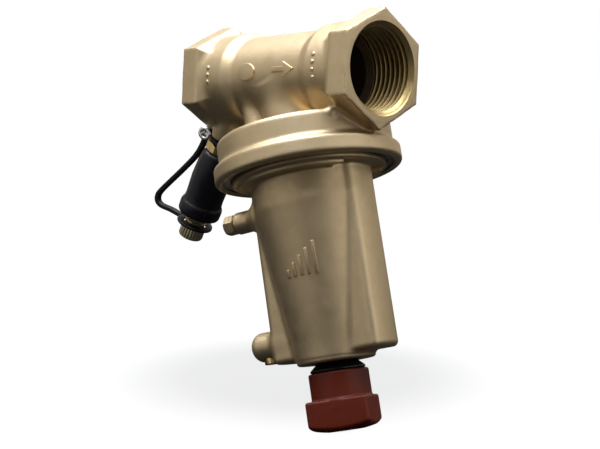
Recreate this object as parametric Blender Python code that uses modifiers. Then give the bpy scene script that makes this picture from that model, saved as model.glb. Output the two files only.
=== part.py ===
"""In-line differential pressure controller with shut-off, G1, as an assembly of separate pieces.

Frame: metres, the stem axis is +Z, and the origin is where the pipe axis crosses the stem axis.
The pipe axis lies in the XZ plane and falls by INCLINE toward the outlet at +X.
The diaphragm housing, the spring bonnet and the handwheel hang below the pipe.
Stated sizes are millimetres and are scaled to metres by MM.
"""
from math import atan2, cos, pi, radians, sin, sqrt

import bmesh
import bpy
from mathutils import Matrix, Vector

MM = 0.001
GAP = 0.3
WELD = 0.004
SMOOTH_ANGLE = radians(32)
LARGE_STEPS = 40
PIPE_STEPS = 32
MEDIUM_STEPS = 22
SMALL_STEPS = 14
TINY_STEPS = 10

# Pipe run
INCLINE = radians(15.6)
PIPE_LENGTH = 93.0
HEX_ACROSS_FLATS = 38.5
HEX_WIDTH = 9.0
HEX_EDGE = 0.7
COLLAR_R = 18.2
COLLAR_INNER_END = 23.0
PIPE_R = 16.2
THREAD_MAJOR_R = 16.62
THREAD_DEPTH = 16.0
PASSAGE_R = 12.8

# Diaphragm housing, cast with the pipe
HOUSING_TOP = -23.6
HOUSING_R = 33.6
RIM_R = 36.0
RIM_TOP = -33.4
RIM_BOTTOM = -40.3
HOUSING_ROOF = -26.2
CHAMBER_R = 28.0
LEDGE_Z = -33.5
FLANGE_R = 31.0
FLANGE_TOP = -34.7
NECK_R = 17.5
FLOW_CHAMBER_R = 11.5
FLOW_CHAMBER_FLOOR = -19.0
CHANNEL_R = 1.2
CHANNEL_PLACE = (-17.5, -6.5, 0.0)
RING_TOP = -38.0
RING_BOTTOM = -39.3
RING_R = 33.2

# Bonnet
BONNET_R = 24.3
CONE_TOP = -57.9
LOBE_BOTTOM = -109.4
CONE_END_R = 15.3
BOSS_R = 14.7
BOSS_BOTTOM = -111.5
LOBE_AZIMUTH = radians(12)
LOBE_HALF_WIDTH = 10.0
CAVITY_R = 12.6
CAVITY_FLOOR = -99.0
VENT_Z = -51.6
PORT_Z = -101.5
PORT_AZIMUTH = radians(196)
VENT_BOSS_R = 4.4
VENT_BOSS_END = 35.0
VENT_TIP = 40.3
PORT_BOSS_R = 5.7
PORT_TIP = 35.2
CAPILLARY_R = 27.5

# Stem and seat, drawn with the cone on its seat
STROKE = 2.5
SEAT_R = 8.0
SEAT_TOP = 1.8
SEAT_BOTTOM = -1.5
STEM_R = 3.0
SCREW_R = 2.6
SPRING_TOP = -54.8
SPRING_BOTTOM = -87.7
SPRING_MEAN_R = 9.0
SPRING_WIRE_R = 1.0
SPRING_TURNS = 7

# Shut-off
SPINDLE_R = 5.0
SPINDLE_TOP = -100.0
KNOB_TOP = -115.0
KNOB_STEP = -125.0
KNOB_BOTTOM = -137.2
KNOB_R = 11.25
GRIP_SIDE = 23.2
GRIP_DOME_R = 48.0
GRIP_TURN = radians(-58.2)
KEY_HOLE_R = 2.0

# Measuring nipple, inclined in the XZ plane
NIPPLE_ROOT = Vector((-45.5, 0.0, -12.7))
NIPPLE_DIRECTION = Vector((-0.684, 0.0, -0.729)).normalized()
STRAP_TURN = radians(22)

COLOURS = {
    "cast_brass": ((0.47, 0.38, 0.24), 0.38, 0.9),
    "machined_brass": ((0.72, 0.56, 0.27), 0.22, 1.0),
    "pale_brass": ((0.74, 0.68, 0.50), 0.28, 1.0),
    "stainless_steel": ((0.62, 0.61, 0.58), 0.25, 1.0),
    "spring_steel": ((0.42, 0.43, 0.44), 0.30, 1.0),
    "chrome": ((0.80, 0.80, 0.80), 0.08, 1.0),
    "black_rubber": ((0.012, 0.012, 0.014), 0.62, 0.0),
    "black_plastic": ((0.012, 0.011, 0.015), 0.40, 0.0),
    "red_plastic": ((0.085, 0.016, 0.007), 0.42, 0.0),
}


def clear_scene():
    for item in list(bpy.data.objects):
        bpy.data.objects.remove(item, do_unlink=True)


def new_collection(name):
    collection = bpy.data.collections.new(name)
    bpy.context.scene.collection.children.link(collection)
    return collection


def make_material(name):
    colour, roughness, metallic = COLOURS[name]
    material = bpy.data.materials.get(name) or bpy.data.materials.new(name)
    material.use_nodes = True
    shader = material.node_tree.nodes["Principled BSDF"]
    shader.inputs["Base Color"].default_value = (*colour, 1.0)
    shader.inputs["Roughness"].default_value = roughness
    shader.inputs["Metallic"].default_value = metallic
    material.diffuse_color = (*colour, 1.0)
    return material


clear_scene()
PIECES = new_collection("pressure_controller")
CUTTERS = new_collection("cutters")


def along(axis, start):
    """World matrix that lays local +Z along an axis, from a start point in millimetres."""
    turn = Vector((0, 0, 1)).rotation_difference(Vector(axis)).to_matrix().to_4x4()
    return Matrix.Translation(Vector(start) * MM) @ turn


PIPE_FRAME = Matrix.Rotation(INCLINE, 4, "Y")
CHANNEL_FRAME = Matrix.Translation(Vector(CHANNEL_PLACE) * MM)
PORT_AXIS = Vector((cos(PORT_AZIMUTH), sin(PORT_AZIMUTH), 0))
PORT_TURN = Matrix.Rotation(PORT_AZIMUTH, 4, "Z") @ Matrix.Rotation(pi / 2, 4, "Y")
NIPPLE_TURN = Matrix.Rotation(atan2(NIPPLE_DIRECTION.x, NIPPLE_DIRECTION.z), 4, "Y")
NIPPLE_FRAME = Matrix.Translation(NIPPLE_ROOT * MM) @ NIPPLE_TURN


def place(name, mesh, matrix):
    """Put a mesh among the working solids; finish() moves it to the assembly if it is a piece."""
    item = bpy.data.objects.new(name, mesh)
    CUTTERS.objects.link(item)
    item.matrix_world = matrix
    item.hide_render = True
    item.display_type = "WIRE"
    return item


def bake(item):
    """Turn an object's modifiers into its own mesh and mark its sharp edges."""
    bpy.context.view_layer.update()
    graph = bpy.context.evaluated_depsgraph_get()
    mesh = bpy.data.meshes.new_from_object(item.evaluated_get(graph))
    item.modifiers.clear()
    item.data = mesh
    mesh.name = item.name
    mesh.shade_smooth()
    mesh.set_sharp_from_angle(angle=SMOOTH_ANGLE)
    return item


def turned(name, profile, steps=MEDIUM_STEPS, matrix=Matrix(), ring=False):
    """A solid turned about local Z from (radius, height) points, outer side from top to bottom."""
    mesh = bpy.data.meshes.new(name)
    points = [(r * MM, 0.0, z * MM) for r, z in profile]
    edges = [(i, i + 1) for i in range(len(points) - 1)]
    if ring:
        edges.append((len(points) - 1, 0))
    mesh.from_pydata(points, edges, [])
    item = place(name, mesh, matrix)
    screw = item.modifiers.new("turn", "SCREW")
    screw.axis = "Z"
    screw.angle = 2 * pi
    screw.steps = steps
    screw.render_steps = steps
    screw.use_merge_vertices = True
    screw.merge_threshold = 0.00001
    screw.use_smooth_shade = True
    return bake(item)


def disc(name, radius, top, bottom, steps=MEDIUM_STEPS, matrix=Matrix()):
    return turned(name, [(0, top), (radius, top), (radius, bottom), (0, bottom)], steps, matrix)


def washer(name, outer, inner, top, bottom, steps=SMALL_STEPS, matrix=Matrix()):
    profile = [(outer, top), (outer, bottom), (inner, bottom), (inner, top)]
    return turned(name, profile, steps, matrix, ring=True)


def o_ring(name, mean_r, thickness, height):
    """A round cord ring, drawn as an eight-sided section."""
    half = thickness / 2
    section = [radians(67.5 - 45 * i) for i in range(8)]
    profile = [(mean_r + half * cos(a), height + half * sin(a)) for a in section]
    return turned(name, profile, SMALL_STEPS, ring=True)


def prism(name, sides, across_flats, top, bottom, edge=0.0, turn=0.0, matrix=Matrix()):
    """An upright prism with regular sides, its edges rounded by a small bevel."""
    mesh = bpy.data.meshes.new(name)
    shape = bmesh.new()
    radius = across_flats / 2 / cos(pi / sides) * MM
    middle = Matrix.Translation((0, 0, (top + bottom) / 2 * MM)) @ Matrix.Rotation(turn, 4, "Z")
    bmesh.ops.create_cone(shape, cap_ends=True, segments=sides, radius1=radius, radius2=radius,
                          depth=abs(top - bottom) * MM, matrix=middle)
    if edge:
        bmesh.ops.bevel(shape, geom=list(shape.edges), offset=edge * MM, segments=2, profile=0.5,
                        affect="EDGES")
    shape.to_mesh(mesh)
    shape.free()
    return bake(place(name, mesh, matrix))


def block(name, low, high, edge=0.0, matrix=Matrix()):
    mesh = bpy.data.meshes.new(name)
    shape = bmesh.new()
    low, high = Vector(low) * MM, Vector(high) * MM
    size = high - low
    fit = Matrix.Translation((low + high) / 2) @ Matrix.Diagonal((*size, 1))
    bmesh.ops.create_cube(shape, size=1.0, matrix=fit)
    if edge:
        bmesh.ops.bevel(shape, geom=list(shape.edges), offset=edge * MM, segments=2, profile=0.5,
                        affect="EDGES")
    shape.to_mesh(mesh)
    shape.free()
    return bake(place(name, mesh, matrix))


def plate(name, outline, low_y, high_y, matrix=Matrix()):
    """A flat outline of (x, z) points in the XZ plane, given its thickness along Y."""
    curve = bpy.data.curves.new(name, "CURVE")
    curve.dimensions = "2D"
    curve.fill_mode = "BOTH"
    curve.extrude = (high_y - low_y) / 2 * MM
    spline = curve.splines.new("POLY")
    spline.points.add(len(outline) - 1)
    for point, (x, z) in zip(spline.points, outline):
        point.co = (x * MM, z * MM, 0, 1)
    spline.use_cyclic_u = True
    stand = Matrix.Translation((0, (low_y + high_y) / 2 * MM, 0)) @ Matrix.Rotation(pi / 2, 4, "X")
    return curve_to_solid(name, curve, matrix @ stand)


def curve_to_solid(name, curve, matrix=Matrix()):
    """Make a curve object into one welded mesh object."""
    guide = bpy.data.objects.new(name + "_curve", curve)
    CUTTERS.objects.link(guide)
    guide.matrix_world = matrix
    bpy.context.view_layer.update()
    graph = bpy.context.evaluated_depsgraph_get()
    mesh = bpy.data.meshes.new_from_object(guide.evaluated_get(graph))
    shape = bmesh.new()
    shape.from_mesh(mesh)
    bmesh.ops.remove_doubles(shape, verts=shape.verts, dist=0.000001)
    bmesh.ops.recalc_face_normals(shape, faces=shape.faces)
    shape.to_mesh(mesh)
    shape.free()
    bpy.data.objects.remove(guide, do_unlink=True)
    return bake(place(name, mesh, matrix))


def combine(item, others, operation):
    """Apply one exact Boolean after another, and weld the slivers that each leaves along its seam."""
    for other in others:
        step = item.modifiers.new(operation.lower(), "BOOLEAN")
        step.operation = operation
        step.solver = "EXACT"
        step.object = other
        weld(bake(item).data)
    item.data.set_sharp_from_angle(angle=SMOOTH_ANGLE)
    return item


def weld(mesh):
    shape = bmesh.new()
    shape.from_mesh(mesh)
    bmesh.ops.remove_doubles(shape, verts=shape.verts, dist=WELD * MM)
    bmesh.ops.dissolve_degenerate(shape, dist=WELD * MM, edges=shape.edges)
    shape.to_mesh(mesh)
    shape.free()


def join(item, *others):
    return combine(item, others, "UNION")


def cut(item, *others):
    return combine(item, others, "DIFFERENCE")


def keep_common(item, *others):
    return combine(item, others, "INTERSECT")


def finish(item, name, material, origin=None):
    """Name a piece, move it to the assembly, give it its material and put its origin in place."""
    item.name = name
    item.data.name = name
    item.hide_render = False
    item.display_type = "TEXTURED"
    for collection in list(item.users_collection):
        collection.objects.unlink(item)
    PIECES.objects.link(item)
    item.data.materials.clear()
    item.data.materials.append(make_material(material))
    if origin is not None:
        bpy.context.view_layer.update()
        shift = Matrix.Translation(Vector(origin) * MM)
        item.data.transform(shift.inverted() @ item.matrix_world)
        item.matrix_world = shift
    return item


def mirrored_ends(make):
    """Call a maker for the outlet end (+1) and the inlet end (-1) of the pipe."""
    return [make(1), make(-1)]


def pipe_along(sign):
    """Frame whose local +Z runs out of one end of the pipe."""
    return PIPE_FRAME @ Matrix.Rotation(sign * pi / 2, 4, "Y")


# ---------------------------------------------------------------- body casting

def body_outside():
    half = PIPE_LENGTH / 2
    shoulder = 2.5
    pipe = turned("pipe", [
        (0, half - 1), (COLLAR_R, half - 1), (COLLAR_R, COLLAR_INNER_END),
        (COLLAR_R - 0.6, COLLAR_INNER_END - 0.9), (PIPE_R + 0.5, COLLAR_INNER_END - shoulder + 0.8),
        (PIPE_R, COLLAR_INNER_END - shoulder - 0.4), (PIPE_R, -COLLAR_INNER_END + shoulder + 0.4),
        (PIPE_R + 0.5, -COLLAR_INNER_END + shoulder - 0.8), (COLLAR_R - 0.6, -COLLAR_INNER_END + 0.9),
        (COLLAR_R, -COLLAR_INNER_END), (COLLAR_R, 1 - half), (0, 1 - half),
    ], PIPE_STEPS, pipe_along(1))
    hexes = mirrored_ends(lambda sign: prism(
        "hex", 6, HEX_ACROSS_FLATS, half, half - HEX_WIDTH, HEX_EDGE, pi / 6, pipe_along(sign)))
    housing = turned("housing", [
        (0, -8), (NECK_R - 1, -14), (NECK_R + 1, -20.5), (NECK_R + 5, HOUSING_TOP),
        (HOUSING_R - 2.5, HOUSING_TOP), (HOUSING_R - 0.7, HOUSING_TOP - 0.8),
        (HOUSING_R, HOUSING_TOP - 2.6), (HOUSING_R, RIM_TOP + 1.0),
        (RIM_R - 1.0, RIM_TOP - 0.5), (RIM_R, RIM_TOP - 2.2), (RIM_R, RIM_BOTTOM + 2.2),
        (RIM_R - 0.6, RIM_BOTTOM + 0.7), (RIM_R - 1.9, RIM_BOTTOM), (0, RIM_BOTTOM),
    ], LARGE_STEPS)
    channel_boss = turned("channel_boss", [
        (0, -2), (4.6, -4), (5, -8), (5.4, -20), (7.5, -24.2), (0, -24.5),
    ], TINY_STEPS, CHANNEL_FRAME)
    nipple_boss = turned("nipple_boss", [(0, 0), (6.2, 0), (6.6, -0.5), (8.2, -7), (8.6, -18), (0, -18)],
                         SMALL_STEPS, NIPPLE_FRAME)
    return join(pipe, *hexes, housing, channel_boss, nipple_boss)


def body_marks():
    """Raised flow arrow, a plain oval pad and pips on the collars, all on the -Y side of the pipe."""
    depth = (-PIPE_R - 0.5, -PIPE_R + 1.0)
    arrow = plate("arrow", [
        (5.0, 1.1), (11.6, 1.1), (11.6, 3.0), (16.8, 0.1), (11.6, -2.8), (11.6, -0.9), (5.0, -0.9),
    ], *depth, PIPE_FRAME)
    pad = plate("pad", [
        (-9.8 + 4.8 * cos(2 * pi * i / 16), 0.1 + 3.4 * sin(2 * pi * i / 16)) for i in range(16)
    ], *depth, PIPE_FRAME)
    pips = []
    for x, count in ((-31.5, 3), (28.5, 4)):
        for i in range(count):
            angle = radians(90 + 9 * (i - (count - 1) / 2))
            out = Vector((0, -sin(angle), cos(angle)))
            start = PIPE_FRAME @ (Vector((x, 0, 0)) + out * (COLLAR_R - 0.8))
            turn = (PIPE_FRAME.to_3x3() @ out)
            pips.append(turned("pip", [(0, 1.3), (0.7, 1.2), (1.0, 0.8), (1.0, 0), (0, 0)], 6,
                               along(turn, start)))
    return [arrow, pad, *pips]


def body_hollows():
    half = PIPE_LENGTH / 2
    outlet_side = [
        (THREAD_MAJOR_R + 1.0, half + 1), (THREAD_MAJOR_R + 0.6, half), (THREAD_MAJOR_R, half - 0.9),
        (THREAD_MAJOR_R, half - THREAD_DEPTH), (PASSAGE_R, half - THREAD_DEPTH - 2.0),
    ]
    inlet_side = [(r, -x) for r, x in reversed(outlet_side)]
    run = turned("run", [(0, half + 1), *outlet_side, *inlet_side, (0, -half - 1)],
                 PIPE_STEPS, pipe_along(1))
    flow_chamber = disc("flow_chamber", FLOW_CHAMBER_R, -2, FLOW_CHAMBER_FLOOR, MEDIUM_STEPS)
    housing_chamber = turned("housing_chamber", [
        (0, -17), (5.5, -17), (5.5, HOUSING_ROOF), (CHAMBER_R - 1, HOUSING_ROOF),
        (CHAMBER_R, HOUSING_ROOF - 1), (CHAMBER_R, LEDGE_Z), (FLANGE_R + GAP, LEDGE_Z),
        (FLANGE_R + GAP, RING_TOP + GAP), (RING_R + GAP, RING_TOP + GAP), (RING_R + GAP, RING_BOTTOM - GAP),
        (RING_R - 0.4, RING_BOTTOM - GAP), (RING_R + 0.4, RIM_BOTTOM + 0.1), (RING_R + 0.6, RIM_BOTTOM - 1),
        (0, RIM_BOTTOM - 1),
    ], LARGE_STEPS)
    nipple_hole = turned("nipple_hole", [(0, 1), (3.6, 1), (3.6, -7.8), (1.3, -8.2), (1.3, -14), (0, -14)],
                         SMALL_STEPS, NIPPLE_FRAME)
    channel = disc("channel", CHANNEL_R, 2, -30, TINY_STEPS, CHANNEL_FRAME)
    return [run, flow_chamber, housing_chamber, nipple_hole, channel]


def body_partition():
    """Z-shaped wall: a seat plate across the stem, with a baffle down at the inlet and up at the outlet."""
    wall = plate("partition", [
        (-11.5, SEAT_TOP), (-20.5, -13.5), (-17.0, -13.5), (-12.6, SEAT_BOTTOM),
        (11.5, SEAT_BOTTOM), (20.5, 13.5), (17.0, 13.5), (12.6, SEAT_TOP),
    ], -15, 15)
    return keep_common(wall, disc("bore_wall", PASSAGE_R + 1.5, 30, -30, PIPE_STEPS, pipe_along(1)))


def valve_body():
    body = join(body_outside(), *body_marks())
    body = cut(body, *body_hollows())
    body = join(body, body_partition())
    body = cut(body, disc("seat_hole", 10.3 + GAP, 4, -4, MEDIUM_STEPS))
    return finish(body, "valve_body", "cast_brass")


# ---------------------------------------------------------------- bonnet casting

def cone_radius(height):
    """Outer radius of the tapered middle of the bonnet, which meets the cylinder at CONE_TOP."""
    return CONE_END_R + (BONNET_R - CONE_END_R) * (height - LOBE_BOTTOM) / (CONE_TOP - LOBE_BOTTOM)


def bonnet():
    """Cylinder with two wide pockets cut back to a cone, which leaves a lobe on each side."""
    outside = turned("outside", [
        (0, FLANGE_TOP), (FLANGE_R, FLANGE_TOP), (FLANGE_R, RING_TOP + 0.6), (29.8, RING_TOP + 0.4),
        (29.8, RIM_BOTTOM - 0.2), (29.3, RIM_BOTTOM - 0.6), (26.0, RIM_BOTTOM - 0.9),
        (BONNET_R + 0.5, RIM_BOTTOM - 2.2), (BONNET_R, RIM_BOTTOM - 4), (BONNET_R, LOBE_BOTTOM + 2.4),
        (BONNET_R - 0.7, LOBE_BOTTOM + 0.7), (BONNET_R - 2.4, LOBE_BOTTOM), (BOSS_R + 0.4, LOBE_BOTTOM),
        (BOSS_R, LOBE_BOTTOM - 0.5), (BOSS_R, BOSS_BOTTOM + 0.8), (BOSS_R - 0.8, BOSS_BOTTOM),
        (0, BOSS_BOTTOM),
    ], LARGE_STEPS)
    pockets = []
    core_top, core_bottom = CONE_TOP + 9, LOBE_BOTTOM - 4
    core = turned("core", [
        (0, core_top), (cone_radius(core_top), core_top), (cone_radius(core_bottom), core_bottom),
        (0, core_bottom),
    ], LARGE_STEPS)
    for side in (-1, 1):
        near, far = sorted((side * LOBE_HALF_WIDTH, side * 30))
        pocket = block("pocket", (-30, near, LOBE_BOTTOM - 3), (30, far, CONE_TOP + 7),
                       matrix=Matrix.Rotation(LOBE_AZIMUTH, 4, "Z"))
        pockets.append(cut(pocket, core))
    outside = cut(outside, *pockets)
    lip = turned("lip", [
        (27.6, RIM_BOTTOM + 1), (27.6, RIM_BOTTOM - 2.0), (27.0, RIM_BOTTOM - 2.4),
        (BONNET_R - 2, RIM_BOTTOM - 2.6), (BONNET_R - 2, RIM_BOTTOM + 1),
    ], LARGE_STEPS, ring=True)
    lip_gaps = [block("lip_gap", (3, -13, RIM_BOTTOM - 4), (40, 13, RIM_BOTTOM + 0.2),
                      matrix=Matrix.Rotation(LOBE_AZIMUTH + turn, 4, "Z")) for turn in (0, pi)]
    lip = cut(lip, *lip_gaps)
    vent_boss = turned("vent_boss", [
        (0, VENT_BOSS_END), (VENT_BOSS_R - 0.6, VENT_BOSS_END), (VENT_BOSS_R, VENT_BOSS_END - 0.6),
        (VENT_BOSS_R + 0.4, 20), (0, 20),
    ], SMALL_STEPS, Matrix.Translation((0, 0, VENT_Z * MM)) @ PORT_TURN)
    dome = [(PORT_BOSS_R * sin(radians(15 * i)), PORT_TIP - PORT_BOSS_R * (1 - cos(radians(15 * i))) * 0.8)
            for i in range(7)]
    port_boss = turned("port_boss", [*dome, (PORT_BOSS_R + 0.3, 16), (0, 16)], SMALL_STEPS,
                       Matrix.Translation((0, 0, PORT_Z * MM)) @ PORT_TURN)
    body = join(outside, lip, vent_boss, port_boss, *range_mark())
    return finish(cut(body, *bonnet_hollows()), "bonnet", "cast_brass")


def range_mark():
    """Five raised bars of rising height on the cone, a plain sign for the setting range."""
    bars = []
    slope = atan2(BONNET_R - CONE_END_R, CONE_TOP - LOBE_BOTTOM)
    for i in range(5):
        azimuth = radians(-72 + 7.5 * i)
        low, high = -80.0, -77.0 + 2.2 * i
        frame = Matrix.Rotation(azimuth, 4, "Z") @ Matrix.Translation((cone_radius(low) * MM, 0, low * MM))
        frame = frame @ Matrix.Rotation(slope, 4, "Y")
        bars.append(block("bar", (-1.2, -0.65, 0), (0.5, 0.65, high - low), 0.2, frame))
    return bars


def bonnet_hollows():
    cavity = turned("cavity", [
        (0, FLANGE_TOP + 1), (CHAMBER_R - 1, FLANGE_TOP + 1), (CHAMBER_R - 1, FLANGE_TOP - 1.5),
        (CAVITY_R, FLANGE_TOP - 7), (CAVITY_R, -50.6), (CAVITY_R + 0.9, -50.6), (CAVITY_R + 0.9, -52.3),
        (CAVITY_R, -52.3), (CAVITY_R, CAVITY_FLOOR), (6.2, CAVITY_FLOOR), (6.2, SPINDLE_TOP - 0.4),
        (SPINDLE_R + GAP, SPINDLE_TOP - 0.4), (SPINDLE_R + GAP, -104.0), (6.7, -104.0), (6.7, -106.4),
        (SPINDLE_R + GAP, -106.4), (SPINDLE_R + GAP, -107.6), (8.4, -107.6), (8.4, BOSS_BOTTOM - 1),
        (0, BOSS_BOTTOM - 1),
    ], MEDIUM_STEPS)
    keyway = block("keyway", (CAVITY_R - 3, -1.6, CAVITY_FLOOR), (CAVITY_R + 1.2, 1.6, -56),
                   matrix=Matrix.Rotation(LOBE_AZIMUTH, 4, "Z"))
    port_frame = Matrix.Translation((0, 0, VENT_Z * MM)) @ PORT_TURN
    vent_hole = turned("vent_hole", [
        (0, VENT_BOSS_END + 1), (2.6, VENT_BOSS_END + 1), (2.6, VENT_BOSS_END - 9.5),
        (1.0, VENT_BOSS_END - 11), (1.0, CAVITY_R - 2), (0, CAVITY_R - 2),
    ], TINY_STEPS, port_frame)
    port_start = PORT_AXIS * CAPILLARY_R + Vector((0, 0, PORT_Z))
    capillary_hole = turned("capillary_hole", [
        (0, 4.6), (1.2, 4.6), (1.2, 2.0), (3.6, 0.6), (3.6, -20), (0, -20),
    ], TINY_STEPS, Matrix.Translation(port_start * MM))
    channel = disc("low_channel", CHANNEL_R, 28.5, CAVITY_R - 2, TINY_STEPS,
                   Matrix.Translation((0, 0, (PORT_Z + 3.9) * MM)) @ PORT_TURN)
    return [cavity, keyway, vent_hole, capillary_hole, channel]


# ---------------------------------------------------------------- seat, guide and rings

def fixed_inner_pieces():
    seat = turned("seat", [
        (10.3, SEAT_TOP), (10.3, SEAT_BOTTOM), (9.2, SEAT_BOTTOM), (8.9, SEAT_BOTTOM + 0.3),
        (SEAT_R + 0.5, SEAT_BOTTOM + 0.3), (SEAT_R, SEAT_BOTTOM + 0.9), (SEAT_R, SEAT_TOP - 0.5),
        (SEAT_R + 0.5, SEAT_TOP),
    ], MEDIUM_STEPS, ring=True)
    finish(seat, "seat_ring", "stainless_steel")
    bush = turned("bush", [(5.2, -19.3), (5.2, -25.0), (3.3, -25.0), (3.3, -23.4), (4.4, -23.4),
                           (4.4, -21.4), (3.3, -21.4), (3.3, -19.3)], SMALL_STEPS, ring=True)
    finish(bush, "stem_guide_bush", "machined_brass")
    finish(washer("lip_seal", 4.15, 3.25, -21.65, -23.15), "stem_seal", "black_rubber")
    ring = washer("snap_ring", RING_R, 30.3, RING_TOP, RING_BOTTOM, LARGE_STEPS)
    gap = block("ring_gap", (20, -4.5, RING_BOTTOM - 1), (40, 4.5, RING_TOP + 1), 0,
                Matrix.Rotation(radians(150), 4, "Z"))
    finish(cut(ring, gap), "retaining_ring", "spring_steel")
    spring_seat = turned("spring_seat", [(CAVITY_R - GAP, -52.6), (CAVITY_R - GAP, -54.5), (5.6, -54.5),
                                         (5.6, -52.6)], SMALL_STEPS, ring=True)
    finish(spring_seat, "spring_upper_seat", "stainless_steel")
    clip = washer("clip", CAVITY_R + 0.6, 10.8, -50.9, -52.1)
    gap = block("clip_gap", (5, -2.5, -53), (20, 2.5, -50), 0, Matrix.Rotation(radians(60), 4, "Z"))
    finish(cut(clip, gap), "spring_seat_clip", "spring_steel")
    finish(o_ring("spindle_seal", 5.98, 1.3, -105.2), "spindle_o_ring", "black_rubber")


# ---------------------------------------------------------------- stem, cone and diaphragm

def stem_group():
    bore = 2.3
    cone = turned("cone", [
        (SEAT_R - 1.2, -0.6), (SEAT_R - 0.7, -1.1), (SEAT_R - 0.7, -2.65), (10.0, -2.65), (10.0, -4.6),
        (9.0, -5.3), (5.0, -6.2), (4.4, -11.4), (bore, -11.4), (bore, -0.6),
    ], MEDIUM_STEPS, ring=True)
    finish(cone, "valve_cone", "machined_brass")
    finish(washer("cone_ring", 9.7, SEAT_R - 0.4, -1.8, -2.35, MEDIUM_STEPS), "cone_seal", "black_rubber")
    nut = cut(prism("nut", 6, 6.4, 2.0, -0.3, 0.3), disc("hole", bore, 3, -2, TINY_STEPS))
    finish(nut, "cone_nut", "stainless_steel")
    stem = turned("stem", [
        (0, 2.6), (1.6, 2.6), (2.0, 2.2), (2.0, -11.7), (STEM_R, -11.7), (STEM_R, -25.3), (4.2, -25.3),
        (4.2, -26.5), (2.5, -26.5), (2.5, -41.6), (4.6, -42.6), (4.6, -50.0), (3.2, -50.0),
        (3.2, -43.9), (0, -43.9),
    ], SMALL_STEPS)
    finish(stem, "valve_stem", "stainless_steel")
    upper = washer("upper_plate", 15.5, 2.8, -26.8, -27.6, MEDIUM_STEPS)
    finish(upper, "diaphragm_upper_plate", "stainless_steel")
    lower = turned("lower_plate", [
        (15.0, -29.0), (15.3, -29.3), (15.3, -30.6), (14.5, -30.6), (14.2, -29.8), (2.8, -29.8), (2.8, -29.0),
    ], MEDIUM_STEPS, ring=True)
    finish(lower, "diaphragm_lower_plate", "stainless_steel")
    nut = cut(prism("nut", 6, 8.0, -30.1, -33.0, 0.3), disc("hole", 2.8, -29, -34, TINY_STEPS))
    finish(nut, "diaphragm_nut", "machined_brass")
    diaphragm()
    finish(washer("clip", 2.9, 2.1, -47.2, -48.4, TINY_STEPS), "swivel_clip", "spring_steel")


def diaphragm():
    """Rubber disc clamped at its rim, domed up to a flat middle between the two plates."""
    thickness = 0.7
    inner_r, middle_r, rim_r = 2.8, 16.5, 27.6
    middle_z, rim_z = -27.95, -33.8
    steps = 4
    slope = []
    for i in range(steps + 1):
        part = i / steps
        ease = part * part * (3 - 2 * part)
        slope.append((middle_r + (rim_r - middle_r) * part, middle_z + (rim_z - middle_z) * ease))
    top = [(inner_r, middle_z), *slope, (FLANGE_R, rim_z)]
    bottom = [(r, z - thickness) for r, z in reversed(top)]
    finish(turned("diaphragm", [*top, *bottom], MEDIUM_STEPS, ring=True), "diaphragm", "black_rubber")


def setting_group():
    screw = turned("screw", [
        (0, -44.3), (2.6, -44.3), (2.9, -44.6), (2.9, -45.8), (1.8, -45.8), (1.8, -50.4), (2.3, -50.4),
        (SCREW_R, -50.8), (SCREW_R, -93.6), (4.2, -93.6), (4.2, -96.8), (3.8, -97.2), (0, -97.2),
    ], SMALL_STEPS)
    key = prism("key", 6, 3.0, -94.2, -99)
    finish(cut(screw, key), "setting_screw", "stainless_steel")
    nut = turned("spring_nut", [
        (11.6, -88.0), (11.6, -90.6), (11.2, -91.0), (6.0, -91.4), (2.9, -91.4), (2.9, -86.0), (6.0, -86.0),
        (6.6, -88.0),
    ], MEDIUM_STEPS, ring=True)
    lug = block("lug", (9, -1.2, -90.6), (CAVITY_R + 0.8, 1.2, -88.4), 0,
                Matrix.Rotation(LOBE_AZIMUTH, 4, "Z"))
    finish(join(nut, lug), "spring_nut", "machined_brass")
    coil()


def coil():
    """Compression spring with closed ends, its wire a bevelled curve."""
    per_turn = 10
    count = SPRING_TURNS * per_turn
    low, high = SPRING_BOTTOM + SPRING_WIRE_R, SPRING_TOP - SPRING_WIRE_R
    curve = bpy.data.curves.new("spring", "CURVE")
    curve.dimensions = "3D"
    curve.bevel_depth = SPRING_WIRE_R * MM
    curve.bevel_resolution = 1
    curve.use_fill_caps = True
    spline = curve.splines.new("POLY")
    spline.points.add(count)
    closed = 0.085
    for i, point in enumerate(spline.points):
        angle = 2 * pi * i / per_turn
        turns = i / per_turn
        pitch_turns = SPRING_TURNS - 2 * 1.0
        inner = min(max(turns - 1.0, 0.0), pitch_turns)
        ends = turns - inner
        wire = 2 * SPRING_WIRE_R + closed
        height = low + ends * wire + inner * (high - low - 2 * wire) / pitch_turns
        point.co = (SPRING_MEAN_R * cos(angle) * MM, SPRING_MEAN_R * sin(angle) * MM, height * MM, 1)
    finish(curve_to_solid("spring", curve), "main_spring", "spring_steel")


# ---------------------------------------------------------------- handwheel and shut-off spindle

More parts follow.
